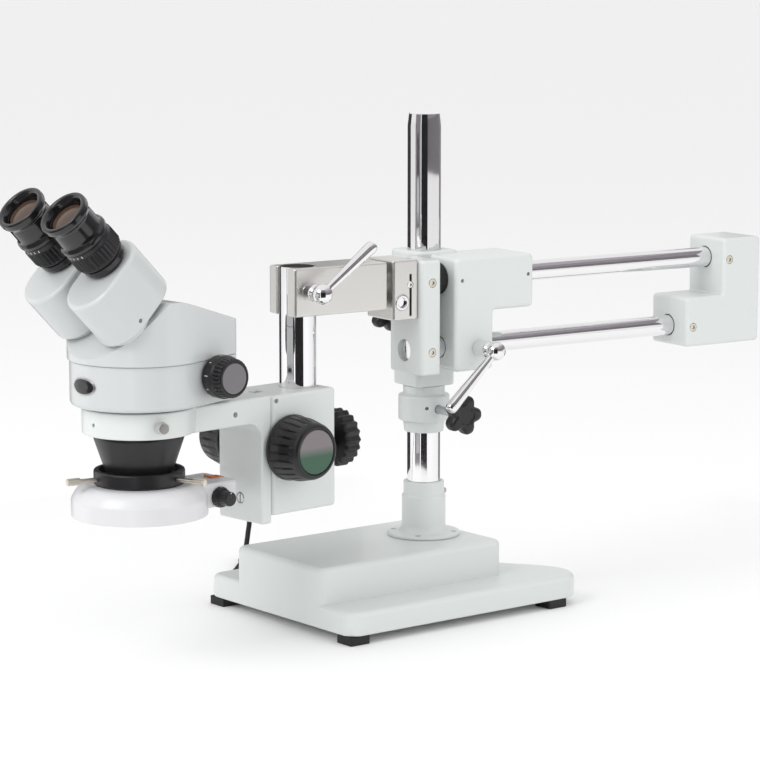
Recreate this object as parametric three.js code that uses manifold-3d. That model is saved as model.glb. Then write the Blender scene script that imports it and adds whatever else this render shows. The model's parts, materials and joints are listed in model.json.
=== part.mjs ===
// Stereo microscope head on a double-arm boom stand. Millimetres, +Z up, table at z = 0.
// Stand frame: the pillar's axis is the origin, +X runs along the boom away from the operator.
import * as THREE from 'three';
import { mergeVertices } from 'three/addons/utils/BufferGeometryUtils.js';
import Module from 'manifold-3d';

const wasm = await Module();
wasm.setup();

// ---- driving dimensions ----------------------------------------------------------------------
const GAP = 0.3; // clearance between touching and sliding pieces
const ORIGIN = { x: 56.356, y: 12.882 }; // puts the middle of the whole, its leads left aside, at x = y = 0

const BASE = { turn: 4.3, front: -175, rear: 109, half: 112, waist: 68, foot: 8, plate: 30 };
const BLOCK = { rear: 43, half: 68, top: 64, corner: 9 };
const FOOT = { side: 22, inset: 1, rearX: 75.5 };
const PILLAR = { r: 16, top: 469, chamfer: 12 };
const SOCKET = { flange: 35, body: 21, neck: 19.5, step: 103, top: 117 };
const COLLAR = { bottom: 165, ring: 176, top: 201, hub: 210, r: 24.5, neck: 20 };
const ARM = { r: 10, y: -40, upper: 316.6, lower: 251.5 };
const CARRIAGE = { left: -10.5, right: 80, waist: 33.5, near: -67, far: -14, step: 286 };
const LEVER_X = 16; // along the lower arm
const SLEEVE = { half: 24, foot: 22, bottom: 210.3, skirt: 230, top: 340 };
const FRONT = { left: -50.6, right: -28.2, near: -69.3, far: -15, bottom: 230, top: 337.5 };
const REAR = { upper: 313, lower: 266.5, end: 360, bottom: 232, step: 281, top: 337 };
const BUMPER = { r: 15.4, end: -10.8 };
const MOUNT = { left: -79, near: -64, far: -20, bottom: 283.5, top: 339 };
const TILT = { y: -42, z: 316.6, r: 10 };
const BRACKET = { left: -186, right: -85, bottom: 294.5, top: 338.5, slot: 20 };
const POST = { x: -169, y: -42, r: 17, bottom: 150, top: 338.5 };
const HEAD_TURN = 9; // degrees that the head and its focus block stand turned on the post

// Head frame: the post's axis is the origin, -X points to the operator.
const HOUSING = { left: -57.6, right: 20, half: 30, bottom: 119.5, top: 228.5 };
const SHAFT = { x: -38, z: 180.5, r: 6, pinion: 8 };
const LEG = { left: -70, right: -57.9, bottom: 113 };
const FOCUS_ARM = { bottom: 205.5, top: 229 };
const RING = { x: -185, r: 49.5, bore: 41, bottom: 208, top: 231 };
const SHELL = { r: 59.5, rear: -101, rearHalf: 38, bottom: 233, seam: 272.7, wall: 4 };
const COVER = { r: 61.5, top: 327, rearTop: 301 };
const OBJECTIVE = { top: 40, bottom: 28, z0: 168.5, z1: 206.7 };
const ZOOM = { x: -141, z: 258.5, r: 18, inner: 55, outer: 78 };
const EYE = { x: -241.5, z: 363.5, half: 30, tilt: 45 };
const PRISM = { offset: -11.5, length: 39, r: 26, top: -1.5, bottom: -53.5, neck: -57, pivot: -24 };
const LIGHT = { r: 60, hole: 31, bottom: 134.8, shoulder: 150, top: 162.5 };
const LIGHT_RING = { r: 40, bore: 35.5, top: 175.5 };
const BOX = { left: -140, right: -92, half: 24, top: 157 };
const DIMMER = { x: -114.5, z: 144, shaft: 3 }; // on the near side of the light's box
const GLAND = { x: -106, z: 146, shank: 3.2 }; // on the far side of the light's box
const THUMB_ANGLE = 252; // degrees about the ring, where its thumb screw points
const LIGHT_SCREWS = { a: 167, b: 287, c: 47 };

// ---- geometry helpers ------------------------------------------------------------------------
const rad = THREE.MathUtils.degToRad;

function closed(geometry) {
  const bare = geometry.index ? geometry.clone() : geometry;
  for (const name of Object.keys(bare.attributes)) if (name !== 'position') bare.deleteAttribute(name);
  const merged = mergeVertices(bare, 1e-4);
  const at = merged.attributes.position;
  const kept = [];
  let volume = 0;
  const [a, b, c] = [new THREE.Vector3(), new THREE.Vector3(), new THREE.Vector3()];
  for (let i = 0; i < merged.index.count; i += 3) {
    const tri = [0, 1, 2].map((k) => merged.index.getX(i + k));
    if (new Set(tri).size < 3) continue;
    kept.push(tri);
    a.fromBufferAttribute(at, tri[0]);
    b.fromBufferAttribute(at, tri[1]);
    c.fromBufferAttribute(at, tri[2]);
    volume += a.dot(b.cross(c));
  }
  const out = new THREE.BufferGeometry();
  out.setAttribute('position', at.clone());
  out.setIndex(kept.flatMap((t) => (volume < 0 ? [t[0], t[2], t[1]] : t)));
  return out;
}

function toSolid(geometry) {
  const ready = closed(geometry);
  return new wasm.Manifold(new wasm.Mesh({
    numProp: 3,
    vertProperties: new Float32Array(ready.attributes.position.array),
    triVerts: new Uint32Array(ready.index.array),
  }));
}

function toGeometry(solid) {
  const mesh = solid.getMesh();
  const out = new THREE.BufferGeometry();
  out.setAttribute('position', new THREE.BufferAttribute(new Float32Array(mesh.vertProperties), 3));
  out.setIndex(new THREE.BufferAttribute(new Uint32Array(mesh.triVerts), 1));
  return out;
}

const combine = (how) => (first, ...others) =>
  toGeometry(others.reduce((sum, g) => sum[how](toSolid(g)), toSolid(first)));
const join = combine('add');
const cut = combine('subtract');
const meet = combine('intersect');

const moved = (geometry, x, y, z) => geometry.clone().translate(x, y, z);

function extrude(shape, z0, z1, segments = 6) {
  const g = new THREE.ExtrudeGeometry(shape, { depth: z1 - z0, bevelEnabled: false, curveSegments: segments });
  return g.translate(0, 0, z0);
}

function roundedRectangle(x0, x1, y0, y1, r) {
  const s = new THREE.Shape();
  s.moveTo(x0 + r, y0).lineTo(x1 - r, y0).absarc(x1 - r, y0 + r, r, -Math.PI / 2, 0);
  s.lineTo(x1, y1 - r).absarc(x1 - r, y1 - r, r, 0, Math.PI / 2);
  s.lineTo(x0 + r, y1).absarc(x0 + r, y1 - r, r, Math.PI / 2, Math.PI);
  s.lineTo(x0, y0 + r).absarc(x0 + r, y0 + r, r, Math.PI, 1.5 * Math.PI);
  return s;
}

const slab = (x0, x1, y0, y1, z0, z1, r = 2) => extrude(roundedRectangle(x0, x1, y0, y1, r), z0, z1, 3);

const box = (x0, x1, y0, y1, z0, z1) =>
  new THREE.BoxGeometry(x1 - x0, y1 - y0, z1 - z0).translate((x0 + x1) / 2, (y0 + y1) / 2, (z0 + z1) / 2);

// A profile in the XZ plane, pushed along Y from y0 to y1.
function sideExtrude(points, y0, y1) {
  const shape = new THREE.Shape(points.map(([x, z]) => new THREE.Vector2(x, z)));
  return extrude(shape, 0, y1 - y0).rotateX(Math.PI / 2).translate(0, y1, 0);
}

// A turned piece about Z from [radius, z] points; a profile off the axis closes on itself.
function turned(points, segments = 18) {
  const all = points[0][0] > 0 ? [...points, points[0]] : points;
  const profile = all.map(([r, z]) => new THREE.Vector2(r, z));
  return closed(new THREE.LatheGeometry(profile, segments).rotateX(Math.PI / 2));
}

const disc = (r, z0, z1, segments = 18) => turned([[0, z0], [r, z0], [r, z1], [0, z1]], segments);
const alongX = (g) => g.clone().rotateY(Math.PI / 2); // +Z becomes +X
const alongY = (g) => g.clone().rotateX(-Math.PI / 2); // +Z becomes +Y
const rodX = (r, x0, x1, y, z, n = 32) => alongX(disc(r, x0, x1, n)).translate(0, y, z);
const rodY = (r, y0, y1, x, z, n = 32) => alongY(disc(r, y0, y1, n)).translate(x, 0, z);

// A knob outline with rounded lobes, n of them, swinging between two radii.
function lobed(n, outer, inner, z0, z1) {
  const points = Array.from({ length: n * 6 }, (_, i) => {
    const a = (i / (n * 6)) * 2 * Math.PI;
    const r = (outer + inner) / 2 + ((outer - inner) / 2) * Math.cos(n * a);
    return new THREE.Vector2(r * Math.cos(a), r * Math.sin(a));
  });
  return extrude(new THREE.Shape(points), z0, z1);
}

// A clamp lever about Z: stud, boss, ball, and a handle that leaves the ball at an angle.
function clampLever(stud, boss, ballR, handle, angle) {
  const ballZ = stud[1] + boss[1] + ballR * 0.75;
  const grip = turned([[0, 0], [3.2, 0], [5.6, handle - 6], [5, handle - 2], [2.5, handle], [0, handle]], 16);
  grip.rotateY(Math.PI / 2).rotateZ(rad(angle)).translate(0, 0, ballZ);
  return join(
    disc(stud[0], 0, stud[1] + 1, 16),
    disc(boss[0], stud[1], stud[1] + boss[1] + 1, 24),
    new THREE.SphereGeometry(ballR, 12, 8).translate(0, 0, ballZ),
    grip,
  );
}

const FINISH = {
  paint: { color: 0xdfe2e0, roughness: 0.45, metalness: 0 },
  whitePlastic: { color: 0xe9e9ea, roughness: 0.4, metalness: 0 },
  chrome: { color: 0xd8d8da, roughness: 0.06, metalness: 1 },
  nickel: { color: 0xcac6be, roughness: 0.3, metalness: 1 },
  black: { color: 0x17161a, roughness: 0.4, metalness: 0 },
  rubber: { color: 0x101012, roughness: 0.8, metalness: 0 },
  brass: { color: 0xb89a68, roughness: 0.3, metalness: 1 },
  glass: { color: 0x5a4438, roughness: 0.05, metalness: 0 },
  amber: { color: 0xd2601c, roughness: 0.35, metalness: 0 },
  steel: { color: 0x9a9ca0, roughness: 0.35, metalness: 1 },
};

function add(group, name, geometry, finish) {
  const mesh = new THREE.Mesh(closed(geometry), new THREE.MeshStandardMaterial(FINISH[finish]));
  mesh.name = name;
  group.add(mesh);
  return mesh;
}

function subgroup(parent, x, y, z, turn = 0) {
  const group = new THREE.Group();
  group.position.set(x, y, z);
  group.rotation.z = rad(turn);
  parent.add(group);
  return group;
}

// ---- base and pillar -------------------------------------------------------------------------
function baseOutline() {
  const { front, rear, half, waist } = BASE;
  const r = 14;
  const s = new THREE.Shape();
  s.moveTo(front + r, -half).lineTo(rear - 28, -half);
  s.bezierCurveTo(rear - 8, -half, rear + 2, -half + 16, rear, -half + 34);
  s.bezierCurveTo(rear - 4, -half + 62, waist, -24, waist, 0);
  s.bezierCurveTo(waist, 24, rear - 4, half - 62, rear, half - 34);
  s.bezierCurveTo(rear + 2, half - 16, rear - 8, half, rear - 28, half);
  s.lineTo(front + r, half).absarc(front + r, half - r, r, Math.PI / 2, Math.PI);
  s.lineTo(front, -half + r).absarc(front + r, -half + r, r, Math.PI, 1.5 * Math.PI);
  return s;
}

function buildBase(stand) {
  const base = subgroup(stand, 0, 0, 0, BASE.turn);
  const plate = extrude(baseOutline(), BASE.foot + GAP, BASE.plate, 8);
  const { rear, half, top, corner } = BLOCK;
  const block = extrude(roundedRectangle(BASE.front, rear, -half, half, corner), BASE.plate - 1, top, 6);
  add(base, 'base_casting', join(plate, block), 'paint');
  const near = -BASE.half + FOOT.inset + FOOT.side / 2;
  const front = BASE.front + FOOT.inset + FOOT.side / 2;
  const places = { front_near: [front, near], front_far: [front, -near], rear_near: [FOOT.rearX, near] };
  places.rear_far = [FOOT.rearX, -near];
  for (const [place, [x, y]] of Object.entries(places)) {
    const h = FOOT.side / 2;
    add(base, `foot_${place}`, slab(x - h, x + h, y - h, y + h, 0, BASE.foot, 1.5), 'rubber');
  }
}

function buildPillar(stand) {
  const { flange, body, neck, step, top } = SOCKET;
  const z0 = BLOCK.top + GAP;
  const bore = PILLAR.r + GAP;
  const socket = [[bore, z0], [flange, z0], [flange, z0 + 2.5], [body + 1.5, z0 + 4], [body, z0 + 7],
    [body, step], [neck, step + 1], [neck, top - 1], [neck - 1, top], [bore, top]];
  add(stand, 'pillar_socket', turned(socket, 24), 'paint');
  const r = PILLAR.r;
  const ends = [[0, z0], [r, z0], [r, PILLAR.top - PILLAR.chamfer], [r - 1, PILLAR.top - 1],
    [r - 2, PILLAR.top], [0, PILLAR.top]];
  add(stand, 'pillar', turned(ends, 24), 'chrome');
}

function starKnob(group, name, studLength, outer, inner, thickness) {
  const knob = join(disc(4, 0, studLength + 1, 16), disc(8, studLength - 6, studLength + 1, 24),
    lobed(5, outer, inner, studLength, studLength + thickness));
  return add(group, name, knob, 'black');
}

function buildCollar(stand) {
  const { bottom, ring, top, hub, r, neck } = COLLAR;
  const bore = PILLAR.r + GAP;
  const profile = [[bore, bottom], [neck - 1, bottom], [neck, ring], [r, ring], [r, top - 1],
    [r - 1, top], [neck, top], [neck, hub], [bore, hub]];
  const middle = (ring + top) / 2;
  const collar = cut(turned(profile, 24), rodY(4 + GAP, -r - 1, 0, 0, middle, 16));
  add(stand, 'safety_collar', collar, 'paint');
  const knob = starKnob(stand, 'collar_lock_knob', 40, 19, 14, 15);
  knob.rotation.x = Math.PI / 2; // its stud points away from the pillar, towards -Y
  knob.position.set(0, -bore, middle);
}

// ---- carriage and boom -----------------------------------------------------------------------
function buildCarriage(stand) {
  const c = CARRIAGE;
  const s = SLEEVE;
  const upper = slab(c.left, c.right, c.near, c.far, c.step, FRONT.top, 5);
  const lower = slab(c.left, c.waist, c.near, c.far, FRONT.bottom, c.step + 1, 5);
  const sleeve = slab(-s.half, s.half, c.far - 6, s.half, s.skirt, s.top, 7);
  const front = slab(-s.half, s.half, -s.half, s.half, s.skirt, s.top, 7);
  const skirt = slab(-s.foot, s.foot, -s.foot, s.foot, s.bottom, s.skirt + 1, 5);
  const body = cut(
    join(upper, lower, sleeve, front, skirt),
    disc(PILLAR.r + GAP, 0, s.top + 1, 24),
    rodX(ARM.r + GAP, c.left - 1, c.right + 1, ARM.y, ARM.upper, 16),
    rodX(ARM.r + GAP, c.left - 1, c.waist + 1, ARM.y, ARM.lower, 16),
    rodY(4 + GAP, c.near - 1, ARM.y, LEVER_X, ARM.lower, 16),
    rodX(BUMPER.r + 1, c.left - 20, c.left, ARM.y, ARM.upper, 16),
  );
  add(stand, 'carriage', body, 'paint');
  const lever = add(stand, 'arm_clamp_lever', clampLever([4, 17], [8, 20], 9.2, 74, 224), 'chrome');
  lever.rotation.x = Math.PI / 2;
  lever.position.set(LEVER_X, ARM.y - ARM.r - GAP, ARM.lower);
}

function buildBoom(stand) {
  const f = FRONT;
  const r = REAR;
  const bore = ARM.r + GAP;
  const armEnd = r.end - 18;
  add(stand, 'arm_upper', rodX(ARM.r, f.left + 4, armEnd, ARM.y, ARM.upper, 16), 'chrome');
  add(stand, 'arm_lower', rodX(ARM.r, f.left + 4, armEnd - 10, ARM.y, ARM.lower, 16), 'chrome');
  const sleeve = alongX(turned([[bore, f.right + GAP], [BUMPER.r, f.right + GAP], [BUMPER.r, BUMPER.end],
    [bore, BUMPER.end]], 24));
  add(stand, 'arm_bumper', sleeve.translate(0, ARM.y, ARM.upper), 'rubber');
  const block = cut(
    slab(f.left, f.right, f.near, f.far, f.bottom, f.top, 3),
    rodX(bore, f.left + 3.5, f.right + 1, ARM.y, ARM.upper, 16),
    rodX(bore, f.left - 1, f.right + 1, ARM.y, ARM.lower, 16),
    rodY(4 + GAP, -35, f.far + 1, -43.2, 282, 16),
  );
  add(stand, 'front_block', block, 'paint');
  const end = cut(
    join(slab(r.upper, r.end, f.near, f.far, r.step - 1, r.top, 3), slab(r.lower, r.end, f.near, f.far, r.bottom, r.step, 3)),
    rodX(bore, r.upper - 1, armEnd + GAP, ARM.y, ARM.upper, 16),
    rodX(bore, r.lower - 1, armEnd - 10 + GAP, ARM.y, ARM.lower, 16),
  );
  add(stand, 'rear_block', end, 'paint');
  const m = MOUNT;
  const mount = cut(
    slab(m.left, f.left - GAP, m.near, m.far, m.bottom, m.top, 2),
    rodX(TILT.r + GAP, m.left - 1, f.left - 2, TILT.y, TILT.z, 16),
    box(-61, -58.5, m.near - 1, TILT.y, 287, 326),
  );
  add(stand, 'tilt_mount', mount, 'nickel');
  const knob = starKnob(stand, 'tilt_lock_knob', 25, 18, 13.5, 14);
  knob.rotation.x = -Math.PI / 2;
  knob.position.set(-43.2, -33.6, 282);
}

function buildBracket(stand) {
  const b = BRACKET;
  const half = (MOUNT.far - MOUNT.near) / 2;
  const arm = slab(b.left, b.right, POST.y - half, POST.y + half, b.bottom, b.top, 2);
  const bracket = cut(
    join(arm, rodX(TILT.r, b.right - 5, FRONT.left - 3, TILT.y, TILT.z, 16)),
    moved(disc(POST.r + GAP, 0, b.top + 5, 24), POST.x, POST.y, 0),
    box(b.left - 5, POST.x, POST.y - b.slot / 2, POST.y + b.slot / 2, 0, b.top + 5),
    rodY(4 + GAP, POST.y - half - 1, POST.y - 10, POST.x, TILT.z, 16),
  );
  add(stand, 'post_bracket', bracket, 'nickel');
  const lever = add(stand, 'post_clamp_lever', clampLever([4, 5], [8.5, 12], 9.6, 70, 36.7), 'chrome');
  lever.rotation.x = Math.PI / 2;
  lever.position.set(POST.x, POST.y - POST.r - GAP, TILT.z);
  const ends = [[0, POST.bottom], [POST.r - 1, POST.bottom], [POST.r, POST.bottom + 1],
    [POST.r, POST.top - 1], [POST.r - 1, POST.top], [0, POST.top]];
  add(stand, 'drop_post', turned(ends, 24).translate(POST.x, POST.y, 0), 'chrome');
}

// ---- focus mechanism -------------------------------------------------------------------------
function buildFocus(head) {
  const h = HOUSING;
  const rackHalf = 5;
  const rackFace = SHAFT.x - SHAFT.pinion - GAP;
  const housing = cut(
    slab(h.left, h.right, -h.half, h.half, h.bottom, h.top, 3),
    disc(POST.r + GAP, POST.bottom - GAP, h.top + 1, 24),
    box(h.left - 1, rackFace + GAP, -rackHalf - GAP, rackHalf + GAP, h.bottom - 1, h.top + 1),
    rodY(SHAFT.r + GAP, -h.half - 1, h.half + 1, SHAFT.x, SHAFT.z, 24),
    rodY(SHAFT.pinion + GAP, -rackHalf - 1, rackHalf + 1, SHAFT.x, SHAFT.z, 24),
    rodX(4 + GAP, 10, h.right + 1, 0, 175.5, 16),
  );
  add(head, 'focus_housing', housing, 'paint');
  const shaft = join(rodY(SHAFT.r, -58, 58, SHAFT.x, SHAFT.z, 16),
    rodY(SHAFT.pinion, -rackHalf, rackHalf, SHAFT.x, SHAFT.z, 16));
  add(head, 'pinion_shaft', shaft, 'steel');
  const bore = SHAFT.r + GAP;
  const knob = turned([[bore, 1], [29, 1], [30, 3], [29.5, 18], [25, 33], [24, 36], [22, 37.5],
    [0, 37.5], [0, 27], [bore, 27]], 16);
  const near = add(head, 'focus_knob_near', knob, 'black');
  near.rotation.x = Math.PI / 2;
  near.position.set(SHAFT.x, -h.half - 1, SHAFT.z);
  const far = add(head, 'focus_knob_far', knob, 'black');
  far.rotation.x = -Math.PI / 2;
  far.position.set(SHAFT.x, h.half + 1, SHAFT.z);
  const lock = join(disc(4, 0, 21, 16), disc(10, 6, 21, 16), turned([[0, 20], [25, 20], [27, 22], [27, 36],
    [24, 38], [0, 38]], 16));
  add(head, 'post_lock_knob', alongX(lock).translate(POST.r + GAP, 0, 175.5), 'black');

  const l = LEG;
  const leg = slab(l.left, l.right, -h.half, h.half, l.bottom, FOCUS_ARM.top, 2);
  const reach = box(RING.x + 30, l.right - 4, -h.half, h.half, FOCUS_ARM.bottom, FOCUS_ARM.top);
  const fillet = sideExtrude([[l.left + 2, 190], [l.left + 2, 207], [l.left - 14, 207], [l.left - 5, 203],
    [l.left - 1, 198]], -h.half, h.half);
  const arm = cut(
    join(leg, reach, fillet, moved(disc(RING.r, RING.bottom, RING.top, 28), RING.x, 0, 0)),
    moved(disc(RING.bore, 190, RING.top + 1, 28), RING.x, 0, 0),
    moved(alongX(disc(3 + GAP, 30, 60, 16)).rotateZ(rad(THUMB_ANGLE)), RING.x, 0, (RING.bottom + RING.top) / 2),
  );
  add(head, 'focus_arm', arm, 'paint');
  add(head, 'focus_rack', box(l.right + GAP, rackFace, -rackHalf, rackHalf, l.bottom + 8, h.top - 6), 'brass');
  const screw = join(disc(3, 0, 12, 16), disc(5.4, 10.5, 22, 16));
  const thumb = alongX(screw).translate(RING.bore + GAP, 0, 0).rotateZ(rad(THUMB_ANGLE));
  add(head, 'ring_thumb_screw', thumb.translate(RING.x, 0, (RING.bottom + RING.top) / 2), 'chrome');
}

// ---- microscope head -------------------------------------------------------------------------

// Plan outline of the head: round at the objective, narrowing to a rounded rear.
function headPlan(r, inset = 0) {
  const rear = SHELL.rear - inset;
  const half = SHELL.rearHalf - inset;
  const corner = 8;
  const turn = Math.asin(0.28);
  const s = new THREE.Shape();
  s.absarc(RING.x, 0, r - inset, Math.PI / 2 - turn, 1.5 * Math.PI + turn);
  s.lineTo(rear - corner, -half).absarc(rear - corner, -half + corner, corner, -Math.PI / 2, 0);
  s.lineTo(rear, half - corner).absarc(rear - corner, half - corner, corner, 0, Math.PI / 2);
  return s;
}

function buildHead(head) {
  const s = SHELL;
  const boss = RING.bore - GAP;
  const lower = cut(
    join(extrude(headPlan(s.r), s.bottom, s.seam, 9), moved(disc(boss, RING.bottom - 1, s.bottom + 1, 28), RING.x, 0, 0)),
    extrude(headPlan(s.r, s.wall), s.bottom + s.wall, s.seam + 1, 9),
    moved(disc(34, 200, s.bottom + 10, 24), RING.x, 0, 0),
    rodY(4 + GAP, -70, 70, ZOOM.x, ZOOM.z, 16),
  );
  add(head, 'head_lower_shell', lower, 'paint');

  const seam = s.seam + GAP;
  const slope = EYE.z - EYE.x - (GAP - PRISM.neck) * Math.SQRT2; // z - x on the sloping face
  const front = RING.x - COVER.r - 1;
  const peak = COVER.top - slope;
  const profile = [[front, seam], [front, front + slope], [peak, COVER.top], [peak + 12, COVER.top],
    [s.rear + 5, COVER.rearTop], [s.rear + 5, seam]];
  const low = slope - 7;
  const inner = [[seam - 1 - low, seam - 1], [COVER.top - 5 - low, COVER.top - 5], [peak + 10, COVER.top - 5],
    [s.rear - 5, COVER.rearTop - 7], [s.rear - 5, seam - 1]];
  const cover = cut(
    meet(extrude(headPlan(COVER.r), seam, 400, 9), sideExtrude(profile, -80, 80)),
    meet(extrude(headPlan(COVER.r, s.wall), seam - 1, 400, 9), sideExtrude(inner, -80, 80)),
  );
  add(head, 'head_upper_shell', cover, 'paint');

  const badge = new THREE.SphereGeometry(1, 16, 8).scale(1.5, 15, 7.6);
  const plate = cut(moved(badge, RING.x - s.r, 0, 254), moved(disc(s.r + GAP, 230, 272, 28), RING.x, 0, 0));
  add(head, 'head_badge', plate, 'black');

  const o = OBJECTIVE;
  const cone = [[24.5, o.z0], [o.bottom, o.z0], [o.bottom + 1.2, 172], [o.top, 204], [o.top, o.z1],
    [33, o.z1], [24.5, 176]];
  add(head, 'objective_housing', turned(cone, 24).translate(RING.x, 0, 0), 'black');
  const lens = [[0, 171], [23, 172.5], [24.2, 173], [24.2, 177], [0, 178.5]];
  add(head, 'objective_lens', turned(lens, 16).translate(RING.x, 0, 0), 'glass');

  const { inner: near, outer } = ZOOM;
  add(head, 'zoom_shaft', rodY(4, -outer + 12, outer - 12, ZOOM.x, ZOOM.z, 16), 'steel');
  const bore = 4 + GAP;
  const knob = turned([[bore, near], [ZOOM.r, near], [ZOOM.r + 1, near + 3], [ZOOM.r + 1, near + 12],
    [ZOOM.r, near + 14], [ZOOM.r - 1, outer - 2], [ZOOM.r - 2.5, outer], [0, outer],
    [0, outer - 11], [bore, outer - 11]], 16);
  const knobNear = add(head, 'zoom_knob_near', knob, 'black');
  knobNear.rotation.x = Math.PI / 2;
  knobNear.position.set(ZOOM.x, 0, ZOOM.z);
  const knobFar = add(head, 'zoom_knob_far', knob, 'black');
  knobFar.rotation.x = -Math.PI / 2;
  knobFar.position.set(ZOOM.x, 0, ZOOM.z);
}

// One eyepiece with its prism housing. Local +Z is the line of sight towards the eye, +X up the slope.
function buildEyepiece(head, side, y) {
  const tube = subgroup(head, EYE.x, y, EYE.z);
  tube.rotation.y = rad(-EYE.tilt);
  const p = PRISM;
  const half = p.length;
  const body = extrude(roundedRectangle(p.offset - half, p.offset + half, -p.r, p.r, p.r - 0.5), p.bottom, p.top, 10);
  const neck = moved(disc(22, p.neck, p.bottom + 1, 16), p.pivot, 0, 0);
  add(tube, `tube_housing_${side}`, cut(join(body, neck), disc(13, -30, 1, 24)), 'paint');
  const barrel = 15;
  const eyepiece = [[11, p.top + GAP], [18, p.top + GAP], [20.5, 3], [20.5, 8], [barrel, 8], [barrel, 32], [22.5, 32],
    [22.5, 36], [20.5, 37.5], [19.8, 55], [22.4, 58], [22.4, 64], [18, 64], [16, 60], [15, 54], [11, 52]];
  add(tube, `eyepiece_${side}`, turned(eyepiece, 16), 'black');
  const bore = barrel + GAP;
  const grip = [[bore, 8 + GAP], [21.5, 8 + GAP], [22.6, 10], [22.6, 30], [22, 32 - GAP], [bore, 32 - GAP]];
  add(tube, `diopter_ring_${side}`, turned(grip, 16), 'rubber');
  const lens = [[0, 56], [14.6, 54.4], [14.6, 57], [9, 58.6], [0, 59.3]];
  add(tube, `eye_lens_${side}`, turned(lens, 24), 'glass');
}

// ---- ring light ------------------------------------------------------------------------------
function buildRingLight(head) {
  const l = LIGHT;
  const body = [[l.hole, l.bottom + 5], [34, l.bottom + 5], [34, l.bottom], [l.r, l.bottom],
    [l.r, l.shoulder], [l.r - 5, 159], [l.r - 12, l.top], [l.hole, l.top]];
  const shell = join(turned(body, 28).translate(RING.x, 0, 0),
    slab(BOX.left, BOX.right, -BOX.half, BOX.half, l.bottom, BOX.top, 3));
  const recess = turned([[34.2, l.bottom - 1], [50.3, l.bottom - 1], [50.3, l.bottom + 5], [34.2, l.bottom + 5]], 28);
  const housing = cut(
    shell,
    moved(disc(l.hole, l.bottom - 2, l.top + 1, 24), RING.x, 0, 0),
    moved(recess, RING.x, 0, 0),
    slab(-108.5, -92.3, -6.2, 6.2, BOX.top - 8, BOX.top + 1, 0.6),
    rodY(DIMMER.shaft + GAP, -BOX.half - 1, -BOX.half + 8, DIMMER.x, DIMMER.z, 16),
    rodY(GLAND.shank + GAP, BOX.half - 8, BOX.half + 1, GLAND.x, GLAND.z, 16),
  );
  add(head, 'ring_light_housing', housing, 'whitePlastic');
  const led = turned([[34.5, l.bottom + 1], [50, l.bottom + 1], [50, l.bottom + 4.7], [34.5, l.bottom + 4.7]], 28);
  add(head, 'led_board', led.translate(RING.x, 0, 0), 'whitePlastic');

  const c = LIGHT_RING;
  const mid = (l.top + c.top) / 2;
  const ring = turned([[c.bore, l.top + GAP], [c.r - 0.6, l.top + GAP], [c.r, l.top + 1.5], [c.r, c.top - 1],
    [c.r - 1, c.top], [c.bore, c.top]], 28);
  const angles = Object.entries(LIGHT_SCREWS);
  const holes = angles.map(([, a]) => alongX(disc(2 + GAP, 30, 45, 16)).rotateZ(rad(a)).translate(0, 0, mid));
  add(head, 'ring_light_collar', moved(cut(ring, ...holes), RING.x, 0, 0), 'black');
  const screw = alongX(join(disc(2, 29.6, 60, 16), disc(3.3, 57, 69, 16)));
  for (const [letter, angle] of angles) {
    const turnedScrew = screw.clone().rotateZ(rad(angle)).translate(RING.x, 0, mid);
    add(head, `light_clamp_screw_${letter}`, turnedScrew, 'brass');
  }
  const dimmer = join(disc(DIMMER.shaft, 0, 8, 16), turned([[0, 7], [9.5, 7], [9.5, 10], [8, 13], [6.6, 14], [6.6, 22],
    [5.6, 23], [0, 23]], 24));
  const knob = add(head, 'dimmer_knob', dimmer, 'black');
  knob.rotation.x = Math.PI / 2;
  knob.position.set(DIMMER.x, -BOX.half + 6.5, DIMMER.z);
  const rocker = sideExtrude([[-107.8, BOX.top - 2.6], [-100.4, BOX.top - 4.8], [-93, BOX.top - 2.6],
    [-93, BOX.top + 0.4], [-100.4, BOX.top + 0.2], [-107.8, BOX.top + 2.6]], -5.8, 5.8);
  add(head, 'rocker_switch', rocker, 'amber');
  const gland = turned([[0, 0], [GLAND.shank, 0], [GLAND.shank, 8], [6, 8.6], [6, 12], [4.6, 13], [3.3, 30], [0, 30]], 16);
  const relief = add(head, 'lead_gland', gland, 'rubber');
  relief.rotation.x = -Math.PI / 2;
  relief.position.set(GLAND.x, BOX.half - 7.7, GLAND.z);
}

// ---- free leads ------------------------------------------------------------------------------
const CORD_R = 2.5;

// Route of the light's own lead, from its gland down to the table behind the base.
const LEAD = [[-282.6, -2.6, 146], [-283.2, 6, 146.2], [-277, 21, 146.5], [-262, 34, 146], [-245, 45, 144],
  [-226, 54, 140.5], [-206, 62, 135], [-186, 70, 127], [-168, 77, 116], [-154, 83, 104], [-145, 88, 91.5],
  [-141.5, 90, 79], [-142.5, 91, 66], [-144, 97, 51], [-141, 108, 37], [-138, 118, 22], [-133, 131, 10],
  [-128, 146, 4], [-121, 162, 2.7], [-111, 177, 2.7], [-100, 190, 2.7], [-88, 202, 3.6], [-79.5, 210.5, 5],
  [-72.6, 217.4, 5.6]];

// Route of the supply's lead, from its socket to the outside of the coil.
const SUPPLY = [[-47.5, 245.2, 5.6], [-40, 253, 4.6], [-30, 259, 3], [-17, 261, 2.7], [-5, 257, 2.7],
  [4, 249, 2.7], [9, 238, 2.7], [11, 226, 2.7], [12.6, 214, 2.7]];
const COIL = { x: -20, y: 178, inner: 17.5, outer: 36.5, height: 16 };

function tubeAlong(points, radius, steps) {
  const path = new THREE.CatmullRomCurve3(points.map((p) => new THREE.Vector3(...p)), false, 'centripetal');
  const ring = Array.from({ length: 8 }, (_, i) => {
    const a = (i / 8) * 2 * Math.PI;
    return new THREE.Vector2(radius * Math.cos(a), radius * Math.sin(a));
  });
  return new THREE.ExtrudeGeometry(new THREE.Shape(ring), { steps, extrudePath: path, bevelEnabled: false });
}

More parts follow.
